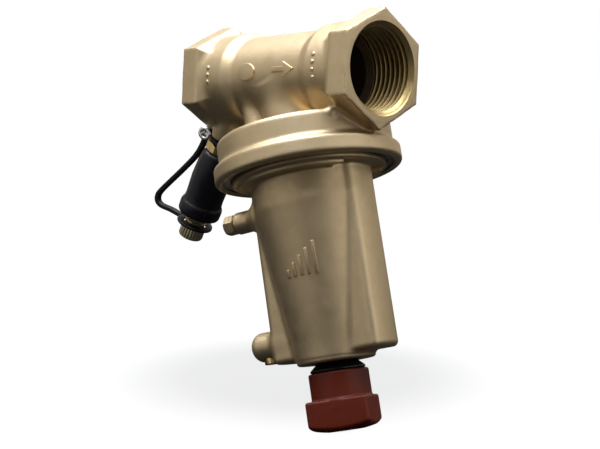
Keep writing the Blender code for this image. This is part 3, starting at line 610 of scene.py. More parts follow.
def finish_of(name):
    """The procedural material of a finish, made once."""
    material = bpy.data.materials.get("finish_" + name)
    if material:
        return material
    group_name, colour, second, rough, metallic, bump_strength, depth = FINISHES[name]
    if isinstance(colour, str):
        colour = getattr(bpy.context.scene.controller_colours, colour)
    material = bpy.data.materials.new("finish_" + name)
    material.use_nodes = True
    tree = material.node_tree
    shader = tree.nodes["Principled BSDF"]
    shader.inputs["Metallic"].default_value = metallic
    shader.inputs["Specular IOR Level"].default_value = 0.5 if metallic else 0.3
    skin = tree.nodes.new("ShaderNodeGroup")
    skin.node_tree = bpy.data.node_groups.get(group_name) or skin_group(group_name)
    skin.inputs[0].default_value = (*colour, 1)
    skin.inputs[1].default_value = (*second, 1)
    skin.inputs[2].default_value, skin.inputs[3].default_value = rough
    bump = tree.nodes.new("ShaderNodeBump")
    bump.inputs["Strength"].default_value = bump_strength
    bump.inputs["Distance"].default_value = depth * MM
    tree.links.new(skin.outputs["Color"], shader.inputs["Base Color"])
    tree.links.new(skin.outputs["Roughness"], shader.inputs["Roughness"])
    tree.links.new(skin.outputs["Height"], bump.inputs["Height"])
    tree.links.new(bump.outputs["Normal"], shader.inputs["Normal"])
    material.diffuse_color = (*colour, 1)
    return material


# ---------------------------------------------------------------- body casting

# Body casting: pipe shoulders, hexagon taper, neck, channel post, nipple boss and the small lump
SHOULDER_START, SHOULDER_LENGTH = 18.7, 6.0
TAPER_START, TAPER_SLOPE = 37.5, 0.83
NUT_EDGE = 0.7
HOUSING_TOP, HOUSING_R = -23.6, 33.6
RIM_TOP, RIM_R = -33.4, 36.0
NECK_R = 14.6
POST_PLACE = (-17.5, -6.5)
LUMP_PLACE = Matrix.Rotation(radians(-25), 3, "Z") @ Vector((32.2, 0, -25.2))
LUMP_R = 2.1


def body_distance(x, y, z):
    """Distance to the outside of the body casting, without its marks."""
    ca, sa = cos(INCLINE), sin(INCLINE)
    along = x * ca - z * sa
    up = x * sa + z * ca
    reach = np.abs(along)
    radial = np.sqrt(y * y + up * up)
    tube = PIPE_R + (COLLAR_R - PIPE_R) * ease((reach - SHOULDER_START) / SHOULDER_LENGTH)
    tube = np.maximum(radial - tube, reach - (HALF_LENGTH - 1))
    flats = np.abs(y)
    for side in (0.866, -0.866):
        flats = np.maximum(flats, np.abs(y / 2 + up * side))
    flats = flats - HALF_FLATS
    taper = (flats + (TAPER_START - reach) * TAPER_SLOPE) / sqrt(1 + TAPER_SLOPE ** 2)
    nut = smooth_common(smooth_common(flats, taper, NUT_EDGE), reach - HALF_LENGTH, NUT_EDGE)
    round_r = np.sqrt(x * x + y * y)
    drum = rounded_disc(round_r, z, HOUSING_R, HOUSING_TOP, RIM_BOTTOM, 1.9)
    rim = rounded_disc(round_r, z, RIM_R, RIM_TOP, RIM_BOTTOM, 1.5)
    drum = smooth_union(drum, rim, 1.8)
    neck = np.maximum(round_r - NECK_R, np.abs(z + 15) - 9)
    fillet = bpy.context.scene.controller_sizes.cast_fillet / MM
    body = smooth_union(drum, neck, fillet)
    body = smooth_union(body, tube, fillet)
    swell = 5.2 + 2.3 * ease((-14 - z) / 10)
    post = np.sqrt((x - POST_PLACE[0]) ** 2 + (y - POST_PLACE[1]) ** 2) - swell
    body = smooth_union(body, np.maximum(post, np.abs(z + 14) - 10), 2.5)
    run, off = axis_distance(x, y, z, NIPPLE_ROOT, NIPPLE_DIRECTION)
    boss = smooth_common(off - (6.25 - run * 0.16), run, 0.6)
    body = smooth_union(body, np.maximum(boss, -18 - run), 2.5)
    lump = np.sqrt((x - LUMP_PLACE.x) ** 2 + (y - LUMP_PLACE.y) ** 2
                   + (z - LUMP_PLACE.z) ** 2) - LUMP_R
    body = smooth_union(body, lump, 1.5)
    return smooth_union(body, nut, 1.6)


def body_marks():
    """Raised flow arrow, a plain oval pad and pips on the collars, on the -Y side of the pipe."""
    depth = (-PIPE_R - 0.5, -PIPE_R + 1.2)
    arrow = plate("arrow", [
        (5.0, 1.1), (11.6, 1.1), (11.0, 3.0), (16.8, 0.1), (11.0, -2.8), (11.6, -0.9), (5.0, -0.9),
    ], *depth, 0.22, PIPE_FRAME)
    pad = plate("pad", [
        (-9.8 + 4.8 * cos(2 * pi * i / 40), 0.1 + 3.4 * sin(2 * pi * i / 40)) for i in range(40)
    ], *depth, 0.3, PIPE_FRAME)
    pips = []
    for x, count in ((-31.5, 3), (28.5, 4)):
        for i in range(count):
            angle = radians(90 + 9 * (i - (count - 1) / 2))
            out = Vector((0, -sin(angle), cos(angle)))
            start = PIPE_FRAME @ (Vector((x, 0, 0)) + out * (COLLAR_R - 0.8))
            turn = Vector((0, 0, 1)).rotation_difference(PIPE_FRAME.to_3x3() @ out)
            matrix = Matrix.Translation(start * MM) @ turn.to_matrix().to_4x4()
            pips.append(turned("pip", [(0, 1.3), (0.7, 1.2), (1.0, 0.8), (1.05, 0), (0, 0)], 0.3,
                               matrix, steps=20))
    return [arrow, pad, *pips]


def thread_cutter(sign):
    """Helical solid whose outside is an internal parallel pipe thread."""
    steps = 60
    first, turns = 28.3, 8.5
    shape = ((0.0, THREAD_MINOR_R), (0.167, THREAD_MINOR_R), (0.5, THREAD_MAJOR_R),
             (0.667, THREAD_MAJOR_R))
    rows = int(steps * turns)
    points, faces = [], []
    for i in range(rows + 1):
        angle = 2 * pi * i / steps
        for dz, r in shape:
            points.append((r * cos(angle) * MM, r * sin(angle) * MM,
                           (first + (i / steps + dz) * THREAD_PITCH) * MM))
    width = len(shape)
    for i in range(rows):
        for m in range(width - 1):
            a = i * width + m
            faces.append((a, a + width, a + width + 1, a + 1))
        if i + steps + 1 <= rows:
            a, b = i * width + width - 1, (i + steps) * width
            faces.append((a, a + width, b + width, b))
    low = [i * width for i in range(steps + 1)] + [width - 1 - m for m in range(width - 1)]
    high = [rows * width + m for m in range(width)]
    high += [i * width + width - 1 for i in range(rows - 1, rows - steps - 1, -1)]
    for loop, height in ((low, first), (high, first + (turns + 0.3) * THREAD_PITCH)):
        centre = len(points)
        points.append((0, 0, height * MM))
        faces += [(centre, loop[k], loop[(k + 1) % len(loop)]) for k in range(len(loop))]
    item = mesh_object("thread", points, faces, pipe_along(sign))
    item.data.materials.append(finish_of("faced_brass"))
    return tidy_normals(item)


def body_hollows():
    half = HALF_LENGTH
    outlet_side = [(17.7, half + 0.7), (17.0, half), (THREAD_MINOR_R, half - 1.8),
                   (THREAD_MINOR_R, half - 18.4)]
    mouths = [turned("mouth", [(0, half + 0.7), *outlet_side, (0, half - 18.4)], 0.12,
                     pipe_along(sign), steps=96) for sign in (1, -1)]
    for mouth in mouths:
        mouth.data.materials.append(finish_of("faced_brass"))
    passage = turned("passage", [(0, half - 18), (15.4, half - 18), (PASSAGE_R, half - 20.5),
                                 (PASSAGE_R, 20.5 - half), (15.4, 18 - half), (0, 18 - half)], 0.1,
                     pipe_along(1), steps=96)
    # Painted shade: the passage faces get the near-black brass
    passage.data.materials.append(finish_of("painted_shade_passage"))
    flow = plain_disc(11.5, -2, -19, 0.5)
    chamber = turned("chamber", [
        (0, -17), (5.5, -17), (5.5, -26.2), (27, -26.2), (28, -27.2), (28, -33.5), (31.3, -33.5),
        (31.3, -37.7), (33.5, -37.7), (33.5, -39.6), (32.8, -39.6), (33.6, -40.2), (33.8, -41.3),
        (0, -41.3)], 0.1)
    chamber.data.materials.append(finish_of("faced_brass"))
    hole = turned("hole", [(0, 1), (3.6, 1), (3.6, -7.8), (1.3, -8.2), (1.3, -14), (0, -14)], 0.1,
                  NIPPLE_FRAME)
    channel = plain_disc(1.2, 2, -30, 0,
                         Matrix.Translation((POST_PLACE[0] * MM, POST_PLACE[1] * MM, 0)), 24)
    # Painted shade: the flow hole faces get the near-black brass too
    flow.data.materials.append(finish_of("painted_shade_passage"))
    return [*mouths, thread_cutter(1), thread_cutter(-1), passage, flow, chamber, hole, channel]


def body_casting():
    pitch = bpy.context.scene.controller_sizes.body_pitch / MM
    body = cast("body", body_distance, (-53, -37.5, -42), (53, 37.5, 36), pitch)
    body.data.materials.append(finish_of("cast_brass"))
    body = join(body, *body_marks())
    body = cut(body, *body_hollows())
    wall = plate("partition", [
        (-11.5, 1.8), (-20.5, -13.5), (-17.0, -13.5), (-12.6, -1.5), (11.5, -1.5), (20.5, 13.5),
        (17.0, 13.5), (12.6, 1.8)], -15, 15)
    bore = plain_disc(PASSAGE_R + 1.5, 30, -30, 0, pipe_along(1))
    wall = keep_common(wall, bore)
    # Painted shade: the partition wall inside the bore gets the near-black brass
    wall.data.materials.clear()
    wall.data.materials.append(finish_of("painted_shade_passage"))
    body = join(body, wall)
    seat = plain_disc(10.6, 4, -4)
    body = cut(body, seat)
    return finish_piece(body, "body_casting", "cast_brass", "housing", "valve_body")


# ---------------------------------------------------------------- bonnet casting

def cone_radius(height):
    share = (height - LOBE_BOTTOM) / (CONE_TOP - LOBE_BOTTOM)
    return CONE_END_R + (CORE_R - 0.7 - CONE_END_R) * share


def bonnet_distance(x, y, z):
    ca, sa = cos(LOBE_AZIMUTH), sin(LOBE_AZIMUTH)
    across = -x * sa + y * ca
    radial = np.sqrt(x * x + y * y)
    drum = rounded_disc(radial, z, BONNET_R, -36.0, LOBE_BOTTOM, 2.2)
    slope = (CORE_R - CONE_END_R) / (CONE_TOP - LOBE_BOTTOM)
    cone = (radial - cone_radius(z)) / sqrt(1 + slope * slope)
    lobes = smooth_common(drum, np.abs(across) - LOBE_HALF_WIDTH, 2.2)
    core = smooth_common(np.maximum(drum, radial - CORE_R), cone, 0.15)
    body = smooth_union(lobes, core, 2.0)
    boss = rounded_disc(radial, z, BOSS_R, -100, BOSS_BOTTOM, 0.8)
    body = smooth_union(body, boss, 1.0)
    flange = rounded_disc(radial, z, 31.0, -34.7, -38.6, 0.4)
    lower = rounded_disc(radial, z, 29.8, -36.0, -41.1, 0.7)
    body = smooth_union(smooth_union(body, lower, 1.6), flange, 0.3)
    gap = 13 - np.abs(across)
    lip = rounded_disc(radial, z, 27.6, -39, -42.7, 0.5)
    body = smooth_union(body, smooth_common(lip, gap, 0.6), 0.9)
    px, py = cos(PORT_AZIMUTH), sin(PORT_AZIMUTH)
    run = x * px + y * py
    side = -x * py + y * px
    vent_off = np.sqrt(side * side + (z - VENT_Z) ** 2)
    root = 4.4 + 2.6 * ease((29.0 - run) / 5.5)
    vent = smooth_common(vent_off - root, run - 35.0, 0.8)
    body = smooth_union(body, np.maximum(vent, 12 - run), 2.2)
    low_off = np.sqrt(side * side + (z - PORT_Z) ** 2)
    low_port = np.where(run > 30.6, np.sqrt(low_off ** 2 + (1.25 * (run - 30.6)) ** 2) - 5.7,
                        low_off - 5.7)
    return smooth_union(body, np.maximum(low_port, 12 - run), 2.6)


def range_mark():
    """Five raised bars of rising height on the cone, a plain sign for the setting range."""
    bars = []
    slope = atan2(CORE_R - CONE_END_R, CONE_TOP - LOBE_BOTTOM)
    for i in range(5):
        low, high = -80.0, -77.0 + 2.2 * i
        place = Matrix.Translation((cone_radius(low) * MM, 0, low * MM))
        matrix = Matrix.Rotation(radians(-86 + 8.5 * i), 4, "Z") @ place
        matrix = matrix @ Matrix.Rotation(slope, 4, "Y")
        bars.append(block("bar", (-1.2, -0.65, 0), (0.5, 0.65, high - low), 0.25, matrix))
    return bars


def bonnet_hollows():
    cavity = turned("cavity", [
        (0, -33.7), (27, -33.7), (27, -36.2), (12.6, -41.7), (12.6, -50.6), (13.5, -50.6),
        (13.5, -52.3), (12.6, -52.3), (12.6, -99.0), (6.2, -99.0), (6.2, -100.4), (5.3, -100.4),
        (5.3, -104.0), (6.7, -104.0), (6.7, -106.4), (5.3, -106.4), (5.3, -107.6), (8.4, -107.6),
        (8.4, -112.5), (0, -112.5)], 0.05)
    cavity.data.materials.append(finish_of("faced_brass"))
    port = Matrix.Translation((0, 0, VENT_Z * MM)) @ PORT_TURN
    vent = turned("vent_hole", [(0, 36), (2.6, 36), (2.6, 25.5), (1, 24), (1, 10.6), (0, 10.6)], 0,
                  port, steps=32)
    start = Vector((cos(PORT_AZIMUTH), sin(PORT_AZIMUTH), 0)) * 27.5 + Vector((0, 0, PORT_Z))
    capillary = turned("capillary_hole", [
        (0, 4.6), (1.2, 4.6), (1.2, 2), (3.6, 0.6), (3.6, -20), (0, -20)], 0,
        Matrix.Translation(start * MM), steps=40)
    return [cavity, vent, capillary]


def bonnet_casting():
    pitch = bpy.context.scene.controller_sizes.bonnet_pitch / MM
    item = cast("bonnet", bonnet_distance, (-37.5, -33, -113), (33, 33, -33), pitch)
    item.data.materials.append(finish_of("cast_brass"))
    item = cut(join(item, *range_mark()), *bonnet_hollows())
    return finish_piece(item, "bonnet_casting", "cast_brass", "housing", "bonnet")


def snap_ring():
    ring = plain_ring(33.2, 30.3, -38.0, -39.3, 0.2, steps=120)
    gap = block("gap", (20, -4.5, -41), (40, 4.5, -37), 0, Matrix.Rotation(radians(150), 4, "Z"))
    return finish_piece(cut(ring, gap), "snap_ring", "spring_steel", "housing", "retaining_ring")


# ---------------------------------------------------------------- handwheel and spindle

def knob_distance(x, y, z):
    radial = np.sqrt(x * x + y * y)
    barrel = rounded_disc(radial, z, 11.25, KNOB_TOP, KNOB_STEP - 4, 0.8)
    ca, sa = cos(GRIP_TURN), sin(GRIP_TURN)
    a, b = np.abs(x * ca + y * sa), np.abs(-x * sa + y * ca)
    square = smooth_common(a - 11.6, b - 11.6, 1.1)
    dome = np.sqrt(radial ** 2 + (z - (KNOB_BOTTOM + 48.0)) ** 2) - 48.0
    grip = smooth_common(smooth_common(square, radial - 16.0, 0.8), z - KNOB_STEP, 1.1)
    grip = smooth_common(grip, dome, 1.2)
    body = smooth_union(barrel, grip, 0.7)
    bore = np.maximum(radial - np.where(z < -131.0, 6.4, 3.9), -200 - z)
    return smooth_common(body, -bore, 0.4)


def handwheel():
    pitch = bpy.context.scene.controller_sizes.knob_pitch / MM
    item = cast("knob", knob_distance, (-17, -17, -138.5), (17, 17, -114), pitch)
    return finish_piece(item, "handwheel_knob", "red_plastic", "handwheel", "handwheel", radians(50))


def spindle_pieces():
    spindle = turned("spindle", [
        (4.6, -100), (5, -100.4), (5, -114.7), (3.6, -114.7), (3.6, -131.1), (2.8, -131.1),
        (2.8, -132.5), (3.4, -132.5), (3.4, -133.2), (2, -133.2), (2, -100)], 0.15, ring=True)
    finish_piece(spindle, "hollow_spindle", "machined_brass", "handwheel", "shut_off_spindle")
    collar = turned("collar", [
        (7.4, -110.7), (8.0, -111.9), (10.3, -114.0), (10.3, -114.75), (5.3, -114.75),
        (5.3, -110.7)], 0.3, ring=True)
    finish_piece(collar, "thrust_washer", "black_plastic", "thrust_collar", "thrust_collar")
    clip = plain_ring(5.8, 3.1, -131.3, -132.2)
    finish_piece(clip, "knob_clip", "spring_steel", "handwheel", "handwheel_clip")


# ---------------------------------------------------------------- vent and capillary plug

def port_pieces():
    port = Matrix.Translation((0, 0, VENT_Z * MM)) @ PORT_TURN
    head = prism("head", 6, 7.0, 40.3, 35.6, 0.12, radians(8), port)
    crown = turned("crown", [
        (0, 40.3), (3.2, 40.3), (4.2, 39.6), (4.2, 36.2), (3.4, 35.6), (0, 35.6)], 0.1, port)
    head = keep_common(head, crown)
    shank = turned("shank", [(0, 37), (2.3, 37), (2.3, 27), (0.8, 25.4), (0, 25.4)], 0.1, port)
    finish_piece(join(head, shank), "vent_plug", "cast_brass", "vent_screw", "vent_screw")
    seal = plain_ring(3.1, 2.6, 35.55, 35.05, matrix=port)
    finish_piece(seal, "vent_gasket", "black_rubber", "vent_seal", "vent_seal")
    start = Vector((cos(PORT_AZIMUTH), sin(PORT_AZIMUTH), 0)) * 27.5 + Vector((0, 0, PORT_Z - 5.7))
    place = Matrix.Translation(start * MM)
    plug = turned("plug", [
        (0, 3), (3, 3), (3.3, 2.7), (3.3, -0.9), (3, -1.2), (0, -1.2)], 0.1, place)
    plug = cut(plug, block("slot", (-4, -0.45, -2.5), (4, 0.45, -0.3), 0, place))
    finish_piece(plug, "slotted_plug", "machined_brass", "housing", "capillary_plug")
    seal = plain_ring(3.3, 1.4, 4.0, 3.3, matrix=place)
    finish_piece(seal, "plug_gasket", "black_rubber", "housing", "capillary_seal")


# ---------------------------------------------------------------- measuring nipple, cap and strap

def nipple_pieces():
    tube = turned("tube", [
        (2.6, 40.6), (2.6, 34.2), (1.4, 33.0), (1.4, -7.5), (2.6, -7.5), (3.3, -6.8), (3.3, 6.0),
        (4.6, 6.2), (4.6, 38.6), (5.3, 39.2), (5.3, 40.2), (4.9, 40.6)],
        0.2, NIPPLE_FRAME, ring=True)
    nut = prism("nut", 6, 12.0, 6.4, 2.4, 0.12, -STRAP_TURN, NIPPLE_FRAME)
    crown = turned("crown", [
        (2.4, 6.4), (5.9, 6.4), (7.2, 5.7), (7.2, 3.1), (5.9, 2.4), (2.4, 2.4)],
        0.1, NIPPLE_FRAME, ring=True)
    finish_piece(join(tube, keep_common(nut, crown)), "nipple_tube", "machined_brass", "housing",
                 "nipple_body")
    sleeve = turned("sleeve", [
        (6.6, 6.8), (4.9, 6.8), (4.9, 38.2), (8.4, 38.4), (9.1, 37.4), (9.2, 33.8), (9.0, 32.6),
        (8.3, 31.6), (8.1, 29.0), (8.4, 20.0), (8.0, 12.0), (7.4, 8.0)],
        0.7, NIPPLE_FRAME, ring=True)
    finish_piece(sleeve, "nipple_cover", "black_plastic", "housing", "nipple_sleeve", radians(45))
    core = plain_ring(2.3, 0.9, 40.3, 34.6, 0.2, NIPPLE_FRAME, 40)
    finish_piece(core, "nipple_core", "black_rubber", "housing", "nipple_packing")


def cap_pieces():
    knurls = bpy.context.scene.controller_sizes.knurls
    cap = turned("cap", [
        (0, 50.4), (4.0, 50.4), (4.9, 50.0), (5.3, 49.2), (5.3, 48.2), (5.3, 44.9), (5.0, 44.3),
        (4.3, 43.8), (4.3, 42.4), (4.65, 42.0), (4.65, 41.3), (2.9, 41.3), (2.9, 45.4), (0, 45.4),
    ], 0.25, NIPPLE_FRAME, steps=knurls * 8, knurl=(knurls, 0.32, 44.5, 49.6))
    finish_piece(cap, "knurled_cap", "pale_brass", "test_cap", "test_cap")
    seal = plain_ring(2.6, 1.0, 45.1, 44.4, matrix=NIPPLE_FRAME)
    finish_piece(seal, "cap_gasket", "black_rubber", "cap_seal", "cap_seal")


def smooth_route(points, pieces):
    """Points along a smooth curve (Catmull-Rom) through the given ones."""
    ends = [points[0], *points, points[-1]]
    result = []
    for a, b, c, d in zip(ends, ends[1:], ends[2:], ends[3:]):
        a, b, c, d = Vector(a), Vector(b), Vector(c), Vector(d)
        for k in range(pieces):
            t = k / pieces
            result.append(0.5 * (2 * b + (c - a) * t + (2 * a - 5 * b + 4 * c - d) * t * t
                                 + (3 * b - a - 3 * c + d) * t ** 3))
    return [*result, Vector(points[-1])]


def band(route):
    """Strap along a route in the frame's XZ plane, with rounded edges and a raised middle line."""
    half_thick, half_wide, corner = 1.0, 1.5, 0.45
    side = [(half_thick + corner * (cos(radians(a)) - 1), half_wide + corner * (sin(radians(a)) - 1))
            for a in (0, 30, 60, 90)]
    side += [(-x, y) for x, y in reversed(side)]
    section = side + [(-x, -y) for x, y in side]
    crest = half_thick + 0.18
    ridge = [(half_thick, -0.45), (crest, -0.3), (crest, 0.3), (half_thick, 0.45)]
    section = ridge + section[:8] + [(-x, -y) for x, y in ridge] + section[8:]
    points, faces = [], []
    for i, here in enumerate(route):
        run = (route[min(i + 1, len(route) - 1)] - route[max(i - 1, 0)]).normalized()
        off = Vector((-run.y, run.x))
        for across, wide in section:
            place = here + off * across
            points.append((place.x * MM, wide * MM, place.y * MM))
    count = len(section)
    for i in range(len(route) - 1):
        for k in range(count):
            n = (k + 1) % count
            faces.append((i * count + k, i * count + n, (i + 1) * count + n, (i + 1) * count + k))
    faces.append(tuple(range(count)))
    faces.append(tuple((len(route) - 1) * count + k for k in reversed(range(count))))
    return tidy_normals(mesh_object("band", points, faces, STRAP_FRAME))


def strap_pieces():
    route = smooth_route([(9.4, 1.5), (9.2, 6.0), (10.3, 13.0), (13.8, 22.0), (18.0, 31.5),
                          (20.6, 37.6), (21.2, 40.6), (20.3, 43.0), (17.8, 44.0), (13.0, 43.4),
                          (7.4, 43.2)], 6)
    tab_place = Matrix.Translation((9.4 * MM, 0, 1.5 * MM))
    tab_frame = STRAP_FRAME @ tab_place @ Matrix.Rotation(pi / 2, 4, "X")
    tab = plain_disc(3.0, 1.45, -1.45, 0.35, tab_frame)
    root = plain_disc(6.7, 1.9, 0.5, 0.35, STRAP_FRAME)
    loop = plain_disc(7.8, 43.9, 42.5, 0.45, STRAP_FRAME)
    item = join(band(route), tab, root, loop)
    item = cut(item, plain_disc(3.6, 3.5, -2, 0, STRAP_FRAME), plain_disc(5.1, 46, 41, 0, STRAP_FRAME),
               plain_disc(1.9, 3, -3, 0, tab_frame))
    finish_piece(item, "moulded_strap", "black_rubber", "housing", "cap_strap",
                 radians(50))
    eyelet = turned("eyelet", [
        (0, -0.6), (1.3, -0.4), (1.3, 1.7), (1.7, 2.3), (2.6, 2.3), (3.1, 1.9), (3.0, 1.5),
        (1.5, 1.5), (1.5, -1.5), (3.0, -1.5), (3.1, -1.9), (2.6, -2.3), (0, -2.3)], 0.2, tab_frame)
    finish_piece(eyelet, "eyelet_rivet", "chrome", "housing", "strap_eyelet")


# ---------------------------------------------------------------- inner pieces

def main_spring():
    """Compression spring with closed ends, below its fixed upper seat."""
    wire, mean, turns, steps, sides = 1.0, 9.0, 7, 28, 12
    low, high = -86.7, -55.8
    points, faces = [], []
    count = turns * steps
    for i in range(count + 1):
        part = i / steps
        inner = min(max(part - 1, 0), turns - 2)
        height = low + (part - inner) * 2.085 + inner * (high - low - 4.17) / (turns - 2)
        angle = 2 * pi * part
        for k in range(sides):
            a = 2 * pi * k / sides
            r = mean + wire * cos(a)
            points.append((r * cos(angle) * MM, r * sin(angle) * MM, (height + wire * sin(a)) * MM))
    for i in range(count):
        for k in range(sides):
            n = (k + 1) % sides
            faces.append((i * sides + k, i * sides + n, (i + 1) * sides + n, (i + 1) * sides + k))
    faces.append(tuple(range(sides)))
    faces.append(tuple(count * sides + k for k in reversed(range(sides))))
    item = tidy_normals(mesh_object("spring", points, faces))
    finish_piece(item, "setting_spring", "spring_steel", "housing", "main_spring",
                 radians(50))
    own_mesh(item)


def diaphragm():
    """Rubber disc, clamped at its rim, with the stem through its middle."""
    inner_r, middle_r, rim_r, middle_z, rim_z = 2.8, 16.5, 27.6, -27.95, -33.8
    slope = []
    for i in range(17):
        part = i / 16
        slope.append((middle_r + (rim_r - middle_r) * part,
                      middle_z + (rim_z - middle_z) * part * part * (3 - 2 * part)))
    top = [(inner_r, middle_z), *slope, (31.0, rim_z)]
    bottom = [(r, z - 0.7) for r, z in reversed(top)]
    item = turned("rubber_disc", [*top, *bottom], 0, ring=True)
    item.data.materials.append(finish_of("black_rubber"))
    item.data.shade_smooth()
    item.data.set_sharp_from_angle(angle=SMOOTH_ANGLE)
    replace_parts(item, "diaphragm")
    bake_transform(item)


def inner_finishes():
    """Better finishes on the CAD pieces that stay."""
    taken = set()
    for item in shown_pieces():
        taken.update(item.get("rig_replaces", []))
    for name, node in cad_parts.items():
        if name in taken:
            continue
        for place in node.material_slots:
            kind = place.material.name.split(".")[0] if place.material else "stainless_steel"
            place.material = finish_of(kind if kind in FINISHES else "stainless_steel")


# ---------------------------------------------------------------- stage

def area_light(name, place, aim, size, power, colour=(1, 1, 1)):
    light = bpy.data.lights.new(name, "AREA")
    light.shape = "RECTANGLE"
    light.size, light.size_y = size
    light.energy = power
    light.color = colour
    item = bpy.data.objects.new(name, light)
    bpy.context.scene.collection.objects.link(item)
    back = (Vector(place) - Vector(aim)).normalized()
    turn = back.to_track_quat("Z", "Y").to_matrix().to_4x4()
    item.matrix_world = Matrix.Translation(place) @ turn
    return item


RIGHT = Vector((0.67140, 0.72749, -0.14133))
UP = Vector((0.22614, -0.01951, 0.97390))
BACK = Vector((0.70575, -0.68584, -0.17762))
CAMERA_PLACE = Vector((0.28654, -0.28709, -0.13165))
FLOOR_TILT = radians(6)
# Painted soft shadow pool on the floor behind the object
PAINTED_SHADOW_PLACE = (-0.068, 0.052, 0)
PAINTED_SHADOW_RADIUS = 0.085
# Painted contact shadow: a small dark spot on the floor where the knob touches it
PAINTED_CONTACT_SHADOW_PLACE = (-0.001, 0.004, 0)
PAINTED_CONTACT_SHADOW_RADIUS = 0.010


def stage_world(settings):
    world = bpy.data.worlds.new("surround")
    bpy.context.scene.world = world
    world.use_nodes = True
    tree = world.node_tree
    tree.nodes.clear()
    output = tree.nodes.new("ShaderNodeOutputWorld")
    mix = tree.nodes.new("ShaderNodeMixShader")
    path = tree.nodes.new("ShaderNodeLightPath")
    room, white = tree.nodes.new("ShaderNodeBackground"), tree.nodes.new("ShaderNodeBackground")
    level = settings.surround
    room.inputs["Color"].default_value = (1, 0.94, 0.84, 1)
    place, facing = tree.nodes.new("ShaderNodeTexCoord"), tree.nodes.new("ShaderNodeVectorMath")
    facing.operation = "DOT_PRODUCT"
    facing.inputs[1].default_value = BACK
    tree.links.new(place.outputs["Generated"], facing.inputs[0])
    glow = spread(tree, facing.outputs["Value"], -0.75, 0.45, settings.backdrop, level)
    tree.links.new(glow, room.inputs["Strength"])
    white.inputs["Color"].default_value = (1, 1, 1, 1)
    tree.links.new(path.outputs["Is Camera Ray"], mix.inputs[0])
    tree.links.new(room.outputs[0], mix.inputs[1])
    tree.links.new(white.outputs[0], mix.inputs[2])
    tree.links.new(mix.outputs[0], output.inputs["Surface"])


def painted_shadow_distance(tree, middle, radius):
    """Distance from the middle of a painted soft shadow on the floor, 1 at its edge."""
    place = tree.nodes.new("ShaderNodeTexCoord")
    mapping = tree.nodes.new("ShaderNodeMapping")
    mapping.vector_type = "TEXTURE"
    mapping.inputs["Location"].default_value = middle
    mapping.inputs["Scale"].default_value = (radius, radius, 1)
    length = tree.nodes.new("ShaderNodeVectorMath")
    length.operation = "LENGTH"
    tree.links.new(place.outputs["Object"], mapping.inputs["Vector"])
    tree.links.new(mapping.outputs["Vector"], length.inputs[0])
    return length.outputs["Value"]


def stage_floor(settings):
    normal = cos(FLOOR_TILT) * UP + sin(FLOOR_TILT) * BACK
    knob = bpy.data.objects["handwheel_knob"]
    contact = min((knob.matrix_world @ v.co for v in knob.data.vertices), key=lambda p: p @ normal)
    shape = bmesh.new()
    bmesh.ops.create_grid(shape, x_segments=1, y_segments=1, size=6.0)
    floor = from_shape("floor", shape)
    turn = Vector((0, 0, 1)).rotation_difference(normal).to_matrix().to_4x4()
    floor.matrix_world = Matrix.Translation(contact - normal * 0.0001) @ turn
    material = bpy.data.materials.new("pale_floor")
    material.use_nodes = True
    tree = material.node_tree
    tree.nodes.clear()
    output = tree.nodes.new("ShaderNodeOutputMaterial")
    diffuse, glow = tree.nodes.new("ShaderNodeBsdfDiffuse"), tree.nodes.new("ShaderNodeEmission")
    add, clear = tree.nodes.new("ShaderNodeAddShader"), tree.nodes.new("ShaderNodeBsdfTransparent")
    path, side = tree.nodes.new("ShaderNodeLightPath"), tree.nodes.new("ShaderNodeNewGeometry")
    mix = tree.nodes.new("ShaderNodeMixShader")
    # Painted shadow: the floor's emission for camera rays is lowered in a soft pool behind the object
    pool = spread(tree, painted_shadow_distance(tree, PAINTED_SHADOW_PLACE, PAINTED_SHADOW_RADIUS), 0.5, 1.2,
                  settings.painted_shadow_glow, 1.0)
    # Painted contact shadow: the emission drops to 0.3 of its level in a small spot at the knob's
    # contact
    painted_contact_shadow = spread(tree, painted_shadow_distance(tree, PAINTED_CONTACT_SHADOW_PLACE, PAINTED_CONTACT_SHADOW_RADIUS), 0.3, 1.0, 0.3, 1.0)
    scale = tree.nodes.new("ShaderNodeMath")
    scale.operation = "MULTIPLY"
    tree.links.new(math_node(tree, "MULTIPLY", pool, painted_contact_shadow), scale.inputs[1])
    diffuse.inputs["Color"].default_value = (0.02, 0.02, 0.02, 1)
    tree.links.new(path.outputs["Is Camera Ray"], scale.inputs[0])
    tree.links.new(scale.outputs[0], glow.inputs["Strength"])
    tree.links.new(diffuse.outputs[0], add.inputs[0])
    tree.links.new(glow.outputs[0], add.inputs[1])
    tree.links.new(side.outputs["Backfacing"], mix.inputs[0])
    tree.links.new(add.outputs[0], mix.inputs[1])
    tree.links.new(clear.outputs[0], mix.inputs[2])
    tree.links.new(mix.outputs[0], output.inputs["Surface"])
    floor.data.materials.append(material)
    return floor


